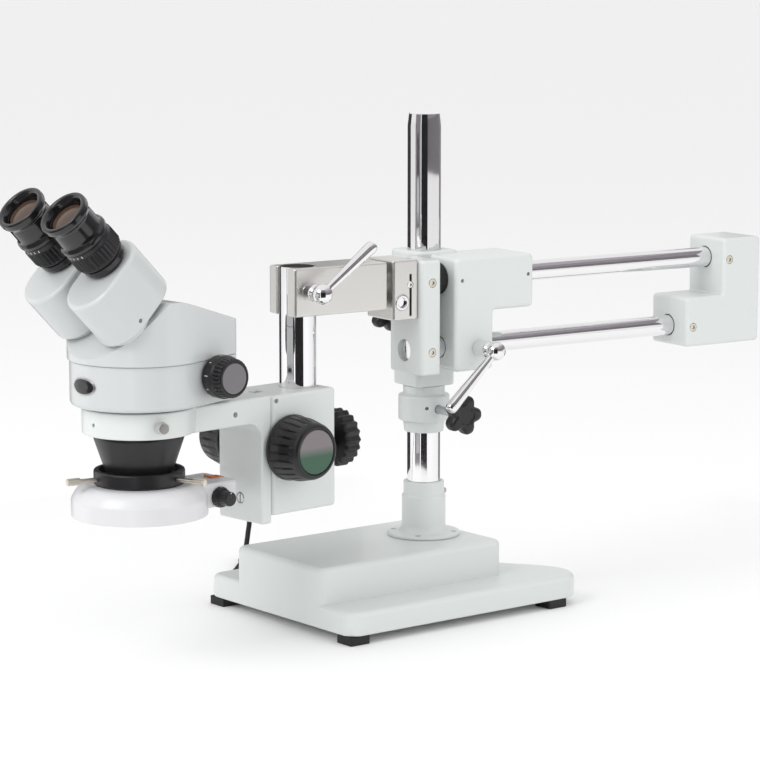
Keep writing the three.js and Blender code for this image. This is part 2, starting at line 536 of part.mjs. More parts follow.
function buildLeads(stand) {
  add(stand, 'light_lead', tubeAlong(LEAD, CORD_R, 34), 'rubber');
  add(stand, 'supply_lead', tubeAlong(SUPPLY, CORD_R, 9), 'rubber');
  const heading = Math.atan2(14, 12.4);
  const half = turned([[0, 0], [3, 0], [5.2, 4], [5.2, 17], [0, 17]], 16);
  const plug = alongX(half).rotateZ(heading).translate(-72.4, 217.6, 5.6);
  add(stand, 'light_plug', plug, 'rubber');
  const socket = alongX(half).rotateZ(heading + Math.PI).translate(-47.8, 245.0, 5.6);
  add(stand, 'supply_socket', socket, 'rubber');
  const c = COIL;
  const ring = turned([[c.inner, 0.2], [c.outer, 0.2], [c.outer, c.height], [c.inner, c.height]], 24);
  add(stand, 'supply_coil', ring.translate(c.x, c.y, 0), 'rubber');
  const pins = [-1, 1].map((side) => box(-2, 17, side * 6.35 - 0.8, side * 6.35 + 0.8, 10, 16.4));
  const adapter = join(slab(-44, 0, -17, 17, 0, 27, 4), ...pins);
  add(stand, 'mains_adapter', adapter.translate(84, 160, 0), 'black');
}

// ---- assembly --------------------------------------------------------------------------------
const microscope = new THREE.Group();
const stand = subgroup(microscope, ORIGIN.x, ORIGIN.y, 0);
buildBase(stand);
buildPillar(stand);
buildCollar(stand);
buildCarriage(stand);
buildBoom(stand);
buildBracket(stand);
const head = subgroup(stand, POST.x, POST.y, 0, HEAD_TURN);
buildFocus(head);
buildHead(head);
buildEyepiece(head, 'near', -EYE.half);
buildEyepiece(head, 'far', EYE.half);
buildRingLight(head);
buildLeads(stand);

export default microscope;
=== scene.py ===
"""Stereo microscope on a double-arm boom stand: the looks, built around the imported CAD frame.
Lengths inside the functions are millimetres in one of four local frames; meshes come out in metres."""

import json
import math

import bmesh
import bpy
from mathutils import Matrix, Vector


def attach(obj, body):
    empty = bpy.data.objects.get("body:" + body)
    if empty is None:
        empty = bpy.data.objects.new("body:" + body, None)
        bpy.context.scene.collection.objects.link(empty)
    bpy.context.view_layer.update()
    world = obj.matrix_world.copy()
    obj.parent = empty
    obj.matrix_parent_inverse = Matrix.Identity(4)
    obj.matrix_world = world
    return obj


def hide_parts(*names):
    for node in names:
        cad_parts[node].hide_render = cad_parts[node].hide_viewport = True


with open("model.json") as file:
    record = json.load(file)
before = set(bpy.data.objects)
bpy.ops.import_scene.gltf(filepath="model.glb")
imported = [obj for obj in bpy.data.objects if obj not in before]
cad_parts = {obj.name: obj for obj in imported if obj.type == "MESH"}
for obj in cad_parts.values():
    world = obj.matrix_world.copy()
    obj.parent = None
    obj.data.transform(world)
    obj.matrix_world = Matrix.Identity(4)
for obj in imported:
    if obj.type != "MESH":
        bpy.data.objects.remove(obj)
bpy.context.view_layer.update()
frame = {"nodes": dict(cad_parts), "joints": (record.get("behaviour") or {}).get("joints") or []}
MM = 0.001
TAU = 2 * math.pi


def joint(name):
    return next(j for j in frame["joints"] if j["name"] == name)


def rotation(angle, axis):
    return Matrix.Rotation(math.radians(angle), 4, axis)


def shift(x=0.0, y=0.0, z=0.0):
    return Matrix.Translation((x, y, z))


# ---- local frames, in millimetres
pillar = [v / MM for v in joint("boom_swing")["pos_m"]]
post = [v / MM for v in joint("head_swing")["pos_m"]]
v_axis = joint("focus_turn")["axis"]
HEAD_TURN = math.degrees(math.atan2(-v_axis[0], v_axis[1]))
BASE_TURN = 4.3
STAND = shift(pillar[0], pillar[1])  # pillar's axis, +X along the boom
BASE = STAND @ rotation(BASE_TURN, "Z")
HEAD = shift(post[0], post[1]) @ rotation(HEAD_TURN, "Z")  # drop post's axis, -X to the operator


def tube_frame(side):
    """The diopter ring's centre line as +Z, towards the eye; +X up the slope."""
    turn = joint(f"diopter_{side}_turn")
    z = Vector(turn["axis"]).normalized()
    y = Vector(v_axis).normalized()
    m = Matrix((y.cross(z), y, z)).transposed().to_4x4()
    return Matrix.Translation(Vector(turn["pos_m"]) / MM) @ m


TUBE = {side: tube_frame(side) for side in ("near", "far")}
ALONG_X = rotation(90, "Y")  # a turned shape's +Z becomes +X
ALONG_Y = rotation(-90, "X")
TO_NEAR = rotation(90, "X")  # +Z becomes -Y, the side with the levers
SIDES = {"near": TO_NEAR, "far": ALONG_Y}


def local_box(node, place):
    """A CAD node's box in a local frame, in millimetres."""
    back = place.inverted()
    points = [back @ (v.co / MM) for v in frame["nodes"][node].data.vertices]
    low = [min(p[i] for p in points) for i in range(3)]
    high = [max(p[i] for p in points) for i in range(3)]
    return low, high


def spans(low, high):
    return [v for ends in zip(low, high) for v in ends]


# ---- shapes: (vertices, faces)
def soften(points, radius, closed=False, steps=3):
    """Rounds the corners of a polyline with true arcs. radius is one value or one per point."""
    radii = radius if isinstance(radius, (list, tuple)) else [radius] * len(points)
    out = []
    count = len(points)
    for i, p in enumerate(points):
        p = Vector(p)
        if not closed and i in (0, count - 1) or radii[i] <= 0:
            out.append(tuple(p))
            continue
        a = Vector(points[i - 1]) - p
        b = Vector(points[(i + 1) % count]) - p
        reach = min(radii[i], a.length * 0.49, b.length * 0.49)
        weight = math.sin(a.angle(b) / 2)
        a, b = p + a.normalized() * reach, p + b.normalized() * reach
        for k in range(steps + 1):
            t = k / steps
            middle = 2 * t * (1 - t) * weight
            out.append(tuple((a * (1 - t) ** 2 + p * middle + b * t**2) / ((1 - t) ** 2 + middle + t**2)))
    return out


def turned(profile, n=64, radius_at=None):
    """A profile of (radius, z) turned about Z. Off the axis it closes on itself."""
    ring_shape = profile[0][0] > 1e-6
    verts, rings = [], []
    for r, z in profile:
        if r < 1e-6:
            rings.append([len(verts)])
            verts.append((0, 0, z))
            continue
        rings.append(list(range(len(verts), len(verts) + n)))
        for k in range(n):
            a = TAU * k / n
            q = radius_at(r, z, a) if radius_at else r
            verts.append((q * math.cos(a), q * math.sin(a), z))
    faces = []
    pairs = list(zip(rings, rings[1:]))
    if ring_shape:
        pairs.append((rings[-1], rings[0]))
    for low, high in pairs:
        for k in range(n):
            m = (k + 1) % n
            if len(low) == 1 and len(high) == 1:
                continue
            if len(low) == 1:
                faces.append((low[0], high[k], high[m]))
            elif len(high) == 1:
                faces.append((low[k], low[m], high[0]))
            else:
                faces.append((low[k], low[m], high[m], high[k]))
    return verts, faces


def inset(outline, distance):
    out = []
    count = len(outline)
    for i, p in enumerate(outline):
        p = Vector(p)
        a = (p - Vector(outline[i - 1])).normalized()
        b = (Vector(outline[(i + 1) % count]) - p).normalized()
        normal = Vector((-a.y - b.y, a.x + b.x)).normalized()
        spread = max(0.5, normal.dot(Vector((-a.y, a.x))))
        out.append(p + normal * (distance / spread))
    return out


def prism(outline, z0, z1, low=0.0, high=0.0, steps=4):
    """An outline (anticlockwise) pushed from z0 to z1, with its lower and upper edges rounded."""
    levels = []
    for k in range(steps + 1 if low else 1):
        t = math.pi / 2 * (k / steps if low else 1)
        levels.append((low * (1 - math.sin(t)), z0 + low * (1 - math.cos(t))))
    for k in range(steps + 1 if high else 1):
        t = math.pi / 2 * (k / steps if high else 1)
        levels.append((high * (1 - math.cos(t)) if high else 0, z1 - high * (1 - math.sin(t)) if high else z1))
    verts = []
    for distance, z in levels:
        verts += [(p.x, p.y, z) for p in inset(outline, distance)]
    n = len(outline)
    faces = [tuple(reversed(range(n))), tuple(range((len(levels) - 1) * n, len(levels) * n))]
    for j in range(len(levels) - 1):
        for k in range(n):
            m = (k + 1) % n
            faces.append((j * n + k, j * n + m, (j + 1) * n + m, (j + 1) * n + k))
    return verts, faces


def rectangle(x0, x1, y0, y1, r, steps=6):
    return soften([(x0, y0), (x1, y0), (x1, y1), (x0, y1)], r, True, steps)


def block(x0, x1, y0, y1, z0, z1, corner=3.0, edge=2.0):
    return prism(rectangle(x0, x1, y0, y1, corner), z0, z1, edge, edge)


def sideways(outline, y0, y1, edge):
    """An outline of (x, z) pushed along Y."""
    flipped = [(x, -z) for x, z in reversed(outline)]
    return put(prism(flipped, y0, y1, edge, edge), ALONG_Y)


def ball(r, n=40):
    profile = [(r * math.sin(math.pi * k / 20), -r * math.cos(math.pi * k / 20)) for k in range(21)]
    profile[0], profile[-1] = (0, -r), (0, r)
    return turned(profile, n)


def rod(r, z0, z1, edge=0.6, n=48):
    return turned(soften([(0, z0), (r, z0), (r, z1), (0, z1)], edge), n)


def hole(r, z0, z1, n, *matrices):
    """A plain round cutter."""
    return put(rod(r, z0, z1, 0, n), *matrices)


def put(shape, *matrices):
    m = Matrix.Identity(4)
    for step in matrices:
        m = m @ step
    verts = [tuple(m @ Vector(v)) for v in shape[0]]
    faces = shape[1]
    if m.determinant() < 0:
        faces = [tuple(reversed(f)) for f in faces]
    return verts, faces


def merge(*shapes):
    verts, faces = [], []
    for more, sides in shapes:
        base = len(verts)
        verts += more
        faces += [tuple(i + base for i in f) for f in sides]
    return verts, faces


def temporary(shape):
    mesh = bpy.data.meshes.new("temporary")
    mesh.from_pydata(shape[0], [], shape[1])
    bm = bmesh.new()
    bm.from_mesh(mesh)
    bmesh.ops.recalc_face_normals(bm, faces=bm.faces)
    bm.to_mesh(mesh)
    bm.free()
    obj = bpy.data.objects.new("temporary", mesh)
    bpy.context.collection.objects.link(obj)
    return obj


def boolean(shape, others, operation):
    body = temporary(shape)
    tools = [temporary(o) for o in others]
    for tool in tools:
        step = body.modifiers.new("step", "BOOLEAN")
        step.operation = operation
        step.object = tool
        step.solver = "EXACT"
    done = body.evaluated_get(bpy.context.evaluated_depsgraph_get()).to_mesh()
    result = [tuple(v.co) for v in done.vertices], [tuple(p.vertices) for p in done.polygons]
    for obj in [body, *tools]:
        bpy.data.objects.remove(obj, do_unlink=True)
    return result


def carve(shape, *cutters):
    return boolean(shape, cutters, "DIFFERENCE")


def fuse(shape, *others):
    return boolean(shape, others, "UNION")


def piece(name, shape, place, material, body, replaces=(), angle=32):
    """Makes a named piece from a shape in a local frame, riding on a CAD body."""
    mesh = bpy.data.meshes.new(name)
    verts, faces = put(shape, Matrix.Scale(MM, 4), place)
    mesh.from_pydata(verts, [], faces)
    bm = bmesh.new()
    bm.from_mesh(mesh)
    bmesh.ops.remove_doubles(bm, verts=bm.verts, dist=2e-6)
    bmesh.ops.recalc_face_normals(bm, faces=bm.faces)
    bm.to_mesh(mesh)
    bm.free()
    mesh.polygons.foreach_set("use_smooth", [True] * len(mesh.polygons))
    mesh.set_sharp_from_angle(angle=math.radians(angle))
    obj = bpy.data.objects.new(name, mesh)
    bpy.context.collection.objects.link(obj)
    obj.data.materials.append(material)
    even = obj.modifiers.new("even_normals", "WEIGHTED_NORMAL")
    even.keep_sharp = True
    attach(obj, body)
    if replaces:
        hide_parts(*replaces)
    return obj


# ---- materials
def surface(name, color, roughness, metallic=0.0, grain=60.0, bump=0.02, coat=0.0, spread=0.06, stretch=(1, 1, 1)):
    """A plain finish with a fine grain in its roughness and relief."""
    mat = bpy.data.materials.new(name)
    mat.use_nodes = True
    nodes, links = mat.node_tree.nodes, mat.node_tree.links
    shader = nodes["Principled BSDF"]
    shader.inputs["Base Color"].default_value = (*color, 1)
    shader.inputs["Metallic"].default_value = metallic
    if coat:
        shader.inputs["Coat Weight"].default_value = coat
        shader.inputs["Coat Roughness"].default_value = 0.08
    place = nodes.new("ShaderNodeTexCoord")
    scale = nodes.new("ShaderNodeMapping")
    scale.inputs["Scale"].default_value = [grain * s for s in stretch]
    links.new(place.outputs["Object"], scale.inputs["Vector"])
    noise = nodes.new("ShaderNodeTexNoise")
    noise.inputs["Scale"].default_value = 12.0
    noise.inputs["Detail"].default_value = 4.0
    links.new(scale.outputs["Vector"], noise.inputs["Vector"])
    rough = nodes.new("ShaderNodeMapRange")
    rough.inputs["To Min"].default_value = max(0.01, roughness - spread)
    rough.inputs["To Max"].default_value = roughness + spread
    links.new(noise.outputs["Fac"], rough.inputs["Value"])
    links.new(rough.outputs["Result"], shader.inputs["Roughness"])
    relief = nodes.new("ShaderNodeBump")
    relief.inputs["Strength"].default_value = bump
    relief.inputs["Distance"].default_value = 0.0004
    links.new(noise.outputs["Fac"], relief.inputs["Height"])
    links.new(relief.outputs["Normal"], shader.inputs["Normal"])
    return mat


def painted_sheen_above(mat, heights, lower, upper):
    """Painted reflection: the lower colour below and a lighter colour above as a painted sheen, blending between two
    heights in metres.
    """
    nodes, links = mat.node_tree.nodes, mat.node_tree.links
    split = nodes.new("ShaderNodeSeparateXYZ")
    height = nodes.new("ShaderNodeMapRange")
    height.inputs["From Min"].default_value, height.inputs["From Max"].default_value = heights
    tint = nodes.new("ShaderNodeValToRGB")
    for stop, position, color in zip(tint.color_ramp.elements, (0.3, 0.6), (lower, upper)):
        stop.position = position
        stop.color = (*color, 1)
    links.new(nodes["Texture Coordinate"].outputs["Object"], split.inputs["Vector"])
    links.new(split.outputs["Z"], height.inputs["Value"])
    links.new(height.outputs["Result"], tint.inputs["Fac"])
    links.new(tint.outputs["Color"], nodes["Principled BSDF"].inputs["Base Color"])


PAINT = surface("stand_enamel", (0.66, 0.69, 0.68), 0.42, bump=0.03, coat=0.15)
PEARL = surface("head_enamel", (0.56, 0.58, 0.58), 0.34, bump=0.015, coat=0.3)
CHROME = surface("chrome_plate", (0.86, 0.85, 0.86), 0.05, 1.0, bump=0.0, spread=0.02)
NICKEL = surface("satin_nickel", (0.74, 0.725, 0.70), 0.36, 1.0, stretch=(0.2, 1, 6), bump=0.02)
STEEL = surface("ground_steel", (0.52, 0.52, 0.54), 0.28, 1.0, stretch=(6, 6, 1))
BRASS = surface("turned_brass", (0.60, 0.47, 0.33), 0.28, 1.0)
PALE_BRASS = surface("plated_brass", (0.74, 0.69, 0.60), 0.3, 1.0)
GLOSS = surface("gloss_black", (0.008, 0.0075, 0.0085), 0.16, coat=0.3, bump=0.0, spread=0.04)
BLACK = surface("satin_black", (0.010, 0.009, 0.0105), 0.36, bump=0.05)
RUBBER = surface("matt_rubber", (0.010, 0.0095, 0.010), 0.62, bump=0.12)
WHITE = surface("white_plastic", (0.66, 0.66, 0.675), 0.30, coat=0.2, bump=0.01)
MARK = surface("white_mark", (0.72, 0.72, 0.72), 0.5)
AMBER = surface("amber_plastic", (0.62, 0.17, 0.025), 0.28, coat=0.4)
GREY = surface("knob_face_grey", (0.16, 0.15, 0.16), 0.34, bump=0.02)
GREEN = surface("knob_face_green", (0.045, 0.075, 0.06), 0.22, coat=0.4)
# Painted reflection: the green knob face turns a lighter grey above the axis height, a painted sheen rather than a
# colour of its own.
painted_sheen_above(GREEN, (0.168, 0.196), (0.012, 0.075, 0.038), (0.17, 0.15, 0.155))
LENS = surface("coated_lens", (0.075, 0.045, 0.030), 0.05, bump=0.0, spread=0.02)
LED = surface("led_dome", (0.80, 0.78, 0.62), 0.15, coat=0.6)


# ---- small fittings
def hex_at(limit):
    """Makes radii below the limit six-sided, for a socket screw's recess."""

    def radius_at(r, z, a):
        if r > limit:
            return r
        part = (a + math.pi / 6) % (math.pi / 3) - math.pi / 6
        return r * math.cos(math.pi / 6) / math.cos(part)

    return radius_at


def cap_screw(r=4.1, height=1.2):
    recess = r * 0.55
    profile = [(0, -1), (r * 0.8, -1), (r, -0.6), (r, height - 0.5), (r - 0.5, height), (recess, height),
               (recess, 0.0), (0, 0.0)]
    return turned(profile, 36, hex_at(recess + 0.01))


def grub_hole(r=1.9, depth=6):
    return rod(r, -depth, 3, 0, 20)


def lobes(count, depth, above, power=1.0):
    def radius_at(r, z, a):
        if r < above:
            return r
        dip = ((1 - math.cos(count * a)) / 2) ** power
        return r - depth * dip

    return radius_at


# ---- camera, light and floor
def build_camera():
    """Eye level a little above the stand, from the near side, with a long lens."""
    azimuth, elevation, distance = -33.935, 8.81, 2838.4
    focal = 140.63
    aim_height, aim_left = 213.75, 42.06
    turn = rotation(azimuth, "Z") @ rotation(90 - elevation, "X")
    right = turn.to_3x3() @ Vector((1, 0, 0))
    back = turn.to_3x3() @ Vector((0, 0, 1))
    aim = Vector((pillar[0], pillar[1], aim_height)) - right * aim_left
    camera = bpy.data.objects.new("camera", bpy.data.cameras.new("camera"))
    camera.data.lens = focal
    camera.data.sensor_width = 36
    camera.data.clip_end = 200
    camera.matrix_world = Matrix.Translation((aim + back * distance) * MM) @ turn
    bpy.context.collection.objects.link(camera)
    bpy.context.scene.camera = camera
    return turn


def area_light(name, place, target, size, power):
    data = bpy.data.lights.new(name, "AREA")
    data.shape = "RECTANGLE"
    data.size, data.size_y = size
    data.energy = power
    obj = bpy.data.objects.new(name, data)
    obj.location = place
    obj.rotation_euler = (Vector(target) - Vector(place)).to_track_quat("-Z", "Y").to_euler()
    bpy.context.collection.objects.link(obj)


def build_world():
    """White surroundings."""
    world = bpy.data.worlds.new("studio")
    world.use_nodes = True
    bpy.context.scene.world = world
    background = world.node_tree.nodes["Background"]
    background.inputs["Color"].default_value = (1, 1, 1, 1)
    background.inputs["Strength"].default_value = 0.93


# From and to in degrees to the right of the camera, bottom and top in metres, and a grey.
SCREENS = [(-20, 25, 0.001, 0.62, 0.012), (-66, -26, 0.001, 0.62, 0.24), (-178, -112, 0.001, 0.62, 0.03),
           (118, 146, 0.001, 0.62, 0.2), (25, 118, 0.36, 0.52, 0.16), (25, 118, 0.52, 0.72, 0.24),
           (25, 118, 0.72, 1.0, 0.36), (25, 118, 1.0, 1.4, 0.55), (-20, 25, 0.62, 1.1, 0.2)]


def build_screens(camera_turn):
    """Dark screens round the table, seen only as bands in what shines."""
    radius, steps = 0.68, 12
    ahead = camera_turn.to_3x3() @ Vector((0, 0, 1))
    start = math.atan2(ahead.y, ahead.x)
    for k, (low, high, z0, z1, grey) in enumerate(SCREENS):
        verts = []
        for i in range(steps + 1):
            a = start + math.radians(low + (high - low) * i / steps)
            x, y = radius * math.cos(a), radius * math.sin(a)
            verts += [(x, y, z0), (x, y, z1)]
        faces = [(2 * i, 2 * i + 2, 2 * i + 3, 2 * i + 1) for i in range(steps)]
        mesh = bpy.data.meshes.new("screen")
        mesh.from_pydata(verts, [], faces)
        screen = bpy.data.objects.new(f"screen_{k}", mesh)
        bpy.context.collection.objects.link(screen)
        mesh.materials.append(surface("screen_cloth", (grey, grey * 0.94, grey), 0.95, bump=0.0))
        for kind in ("camera", "diffuse", "shadow", "transmission", "volume_scatter"):
            setattr(screen, f"visible_{kind}", False)


def build_floor():
    size = 40.0
    mesh = bpy.data.meshes.new("floor")
    corners = [(-size, -size, 0), (size, -size, 0), (size, size, 0), (-size, size, 0)]
    mesh.from_pydata(corners, [], [(0, 1, 2, 3)])
    floor = bpy.data.objects.new("floor", mesh)
    bpy.context.collection.objects.link(floor)
    mesh.materials.append(surface("pale_table", (0.93, 0.93, 0.93), 0.75, bump=0.0))


view_turn = build_camera()
build_world()
build_floor()
build_screens(view_turn)
area_light("key", (-2.3, -0.3, 1.8), (0, 0, 0.25), (1.5, 1.5), 30)
area_light("fill", (0.9, -2.1, 1.5), (0, 0, 0.25), (1.5, 1.5), 9)
bpy.context.scene.view_settings.view_transform = "Standard"


# ---- free cords
CORD_R = 2.5
# The light's own lead, from its gland to the plug on the table behind the base, in the stand frame.
LEAD = [(-282.6, -2.6, 146), (-283.2, 6, 145), (-278, 19, 141), (-264, 32, 136), (-246, 44, 132),
        (-226, 54, 128), (-206, 62, 124), (-186, 70, 119), (-168, 77, 112), (-154, 83, 102), (-145, 88, 91),
        (-141.5, 90, 79), (-142.5, 91, 66), (-141, 97, 51), (-135, 108, 37), (-131, 118, 22), (-127, 131, 10),
        (-124, 146, 4), (-119, 162, 2.7), (-111, 177, 2.7), (-100, 190, 2.7), (-88, 202, 3.6), (-79.5, 210.5, 5),
        (-72.6, 217.4, 5.6)]
# The supply's lead, from its socket to the outside of the coil.
SUPPLY = [(-49.5, 243.5, 5.6), (-42, 251, 4.6), (-31, 258, 3), (-17, 261, 2.7), (-5, 257, 2.7),
          (4, 249, 2.7), (9, 238, 2.7), (11, 226, 2.7), (12.6, 214, 2.7)]
COIL_MIDDLE = (-20, 178)
COIL_RADII = (33.7, 28.3, 22.9, 22.9, 28.3, 33.7, 33.7, 28.3, 22.9)
COIL_PITCH = 5.25


def cord_curve(name, points, body, slot_nodes):
    data = bpy.data.curves.new(name, "CURVE")
    data.dimensions = "3D"
    thin = 0.002  # a curve's box grows by the radius of its points
    data.bevel_depth = CORD_R * MM / thin
    data.bevel_resolution = 4
    data.resolution_u = 6
    line = data.splines.new("BEZIER")
    line.bezier_points.add(len(points) - 1)
    for spot, p in zip(line.bezier_points, points):
        spot.co = (STAND @ Vector(p)) * MM
        spot.radius = thin
        spot.handle_left_type = spot.handle_right_type = "AUTO"
    data.materials.append(RUBBER)
    obj = bpy.data.objects.new(name, data)
    bpy.context.collection.objects.link(obj)
    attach(obj, body)
    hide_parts(*slot_nodes)
    return obj


def curve_length(obj):
    obj.data.bevel_depth, keep = 0, obj.data.bevel_depth
    mesh = obj.to_mesh()
    total = sum((mesh.vertices[e.vertices[0]].co - mesh.vertices[e.vertices[1]].co).length for e in mesh.edges)
    obj.to_mesh_clear()
    obj.data.bevel_depth = keep
    return total


def coil_points():
    """Turns side by side, then a layer up, going round from the entry."""
    out = []
    start = math.atan2(SUPPLY[-1][1] - COIL_MIDDLE[1], SUPPLY[-1][0] - COIL_MIDDLE[0])
    per_turn = 16
    for turn, radius in enumerate(COIL_RADII):
        following = COIL_RADII[min(turn + 1, len(COIL_RADII) - 1)]
        level = turn // 3
        next_level = min(turn + 1, len(COIL_RADII) - 1) // 3
        for k in range(per_turn):
            blend = max(0.0, (k - 10) / 6)
            r = radius + (following - radius) * blend
            z = 2.8 + COIL_PITCH * (level + (next_level - level) * blend)
            a = start - TAU * k / per_turn
            out.append((COIL_MIDDLE[0] + r * math.cos(a), COIL_MIDDLE[1] + r * math.sin(a), z))
    return out


def build_cords():
    lead = cord_curve("lead_cord", LEAD, "head", ["light_lead"])
    round(curve_length(lead), 3)
    tail = [(-12, 148, 14), (6, 150, 12), (24, 157, 10), (39.5, 160, 10)]
    route = SUPPLY + coil_points() + tail
    supply = cord_curve("supply_cord", route, "stand", ["supply_lead", "supply_coil"])
    round(curve_length(supply), 3)


# ---- base and pillar
def bezier(a, b, c, d, steps=10):
    out = []
    for k in range(steps):
        t = k / steps
        s = 1 - t
        out.append(tuple(a[i] * s**3 + 3 * b[i] * s * s * t + 3 * c[i] * s * t * t + d[i] * t**3 for i in (0, 1)))
    return out


def build_base():
    low, high = local_box("base_casting", BASE)
    front, half = low[0], high[1]
    rear, waist, corner = 109, 68, 14
    right = [(rear - 28, -half), (rear - 8, -half), (rear + 2, -half + 16), (rear, -half + 34)]
    inner = [right[-1], (rear - 4, -half + 62), (waist, -24), (waist, 0)]
    lobe = bezier(*right) + bezier(*inner)
    mirrored = [(x, -y) for x, y in reversed(lobe[1:])]
    arc = []
    for k in range(9):
        a = math.pi / 2 + k * math.pi / 16
        arc.append((front + corner + corner * math.cos(a), half - corner + corner * math.sin(a)))
    near_arc = [(x, -y) for x, y in reversed(arc)]
    outline = lobe + [(waist, 0)] + mirrored + [(right[0][0], half)] + arc + near_arc
    plate = prism(outline, low[2], 30, 1.5, 5, 5)
    top = prism(rectangle(front, 43, -68, 68, 10, 8), 24, high[2], 0, 5.5, 6)
    piece("base_body", fuse(plate, top), BASE, PAINT, "stand", ["base_casting"])
    for name in ("foot_front_near", "foot_front_far", "foot_rear_near", "foot_rear_far"):
        low, high = local_box(name, BASE)
        pad = block(*spans(low, high), 1.8, 0.8)
        piece(name + "_pad", pad, BASE, RUBBER, "stand", [name])


def build_pillar():
    low, high = local_box("pillar", STAND)
    r = high[0]
    top = high[2]
    tube = [(0, low[2]), (r, low[2]), (r, top - 12), (r - 1.3, top - 0.8), (r - 2.2, top), (0, top)]
    piece("pillar_tube", turned(tube, 96), STAND, CHROME, "stand", ["pillar"])
    low, high = local_box("pillar_socket", STAND)
    bore, flange, z0, z1 = r + 0.3, high[0], low[2], high[2]
    profile = soften([(bore, z0), (flange, z0), (flange, z0 + 3), (23.5, z0 + 3.6), (21, z0 + 8), (21, z1 - 14),
                      (19.5, z1 - 13), (19.5, z1), (bore, z1)], [0, 0.6, 1.2, 1.5, 3, 1, 1, 1.4, 0.5])
    screws = [put(cap_screw(3.0, 0.6), rotation(45 + 90 * k, "Z"), shift(29, 0, z0 + 3)) for k in range(4)]
    holes = [put(grub_hole(2.2, 8), rotation(-8, "Z"), shift(20.5, 0, z1 - 12), ALONG_X)]
    socket = carve(turned(profile, 96), *holes)
    piece("socket_body", socket, STAND, PAINT, "stand", ["pillar_socket"])
    side = put(cap_screw(2.6, 3.0), rotation(-8, "Z"), shift(20.4, 0, z1 - 12), ALONG_X)
    piece("socket_screws", merge(side, *screws), STAND, STEEL, "stand")


def star_knob(stud, thickness, outer):
    head = soften([(0, stud), (outer - 3, stud), (outer, stud + 3), (outer, stud + thickness - 3),
                   (outer - 4, stud + thickness), (9, stud + thickness), (8, stud + thickness - 1),
                   (0, stud + thickness - 1)], 2.2)
    knob = turned(head, 120, lobes(5, 5.5, 10, 1.6))
    hub = turned(soften([(0, stud - 6), (7.2, stud - 6), (8, stud + 1), (0, stud + 1)], 0.8), 48)
    return merge(knob, hub), rod(4, 0, stud - 5.5, 0.4, 32)


def build_collar():
    low, high = local_box("safety_collar", STAND)
    bore, r, z0, z1 = 16.3, high[0], low[2], high[2]
    stud_z = 188.5
    profile = soften([(bore, z0), (18.8, z0), (20, z0 + 11), (r, z0 + 11), (r, z1 - 9), (20, z1 - 9), (20, z1),
                      (bore, z1)], [0, 1, 1, 1.8, 1.8, 1, 1.2, 0])
    screw_hole = put(grub_hole(1.8), rotation(-118, "Z"), shift(r, 0, 190), ALONG_X)
    stud_hole = hole(4.3, 0, r + 2, 24, shift(0, 0, stud_z), TO_NEAR)
    piece("collar_body", carve(turned(profile, 96), screw_hole, stud_hole), STAND, PAINT, "collar",
          ["safety_collar"])
    knob, stud = star_knob(40, 15, 19)
    place = STAND @ shift(0, -bore, stud_z) @ TO_NEAR
    piece("collar_knob", knob, place, BLACK, "collar_knob", ["collar_lock_knob"])
    piece("collar_knob_stud", stud, place, STEEL, "collar_knob")


# ---- carriage and boom
ARM_Y, ARM_UPPER, ARM_LOWER, ARM_R = -40, 316.6, 251.5, 10
SHANK_Y = -42
TILT_X, TILT_Z = -43.2, 282
POST_R, POST_BORE = 17, 17.4
ARM_BORE = 10.6
SCREW_R = 4.3


def lever(stud, boss, radius, grip, angle):
    """A clamp lever about Z: stud, boss, ball and a slim handle."""
    centre = stud[1] + boss[1] + radius * 0.75
    handle = turned(soften([(0, 2), (3.9, 2), (3.9, radius + 1), (5.8, grip - 6), (5.5, grip - 2), (3.4, grip),
                            (0, grip)], [0, 0, 2, 3, 2, 1.6, 0], False, 5), 48)
    return merge(
        turned(soften([(0, 0), (stud[0], 0), (stud[0], stud[1]), (0, stud[1])], 0.3), 32),
        turned(soften([(0, stud[1] - 0.5), (boss[0], stud[1] - 0.5), (boss[0], stud[1] + boss[1] - 3),
                       (boss[0] - 2, stud[1] + boss[1] + 1), (0, stud[1] + boss[1] + 1)], 1.2), 48),
        put(ball(radius), shift(0, 0, centre)),
        put(handle, shift(0, 0, centre), rotation(angle, "Z"), ALONG_X),
    )


def near_face(x, z, y):
    """On a face that looks to the near side: +Z out of it."""
    return shift(x, y, z) @ TO_NEAR


def build_carriage():
    low, high = local_box("carriage", STAND)
    left, right, near = -10.5, high[0], low[1]
    step, waist, top = 286, 33.5, 337.5
    profile = soften([(left, 230), (waist, 230), (waist, step), (right, step), (right, top), (left, top)],
                     [5, 5, 3, 5, 6, 5], True, 6)
    arms = sideways(profile, near, -10, 4)
    sleeve = block(-24, 24, -24, 24, 230, 340, 7, 3)
    skirt = block(-22, 22, -22, 22, low[2], 236, 6, 2)
    body = fuse(arms, sleeve, skirt)
    cuts = [hole(16.4, 200, 350, 96),
            hole(ARM_BORE, left - 4, right + 4, 64, shift(0, ARM_Y, ARM_UPPER), ALONG_X),
            hole(ARM_BORE, left - 4, waist + 4, 64, shift(0, ARM_Y, ARM_LOWER), ALONG_X),
            hole(4.5, -3, 26, 32, near_face(16, ARM_LOWER, -44)),
            put(grub_hole(), near_face(-3, 316, near)),
            put(grub_hole(), near_face(73.5, 317.5, near))]
    piece("carriage_body", carve(body, *cuts), STAND, PAINT, "carriage", ["carriage"])
    clamp = lever([4, 17], [8, 20], 9.2, 74, 224)
    place = STAND @ near_face(16, ARM_LOWER, ARM_Y - ARM_R - 0.3)
    piece("arm_lever_body", clamp, place, CHROME, "arm_lever", ["arm_clamp_lever"])


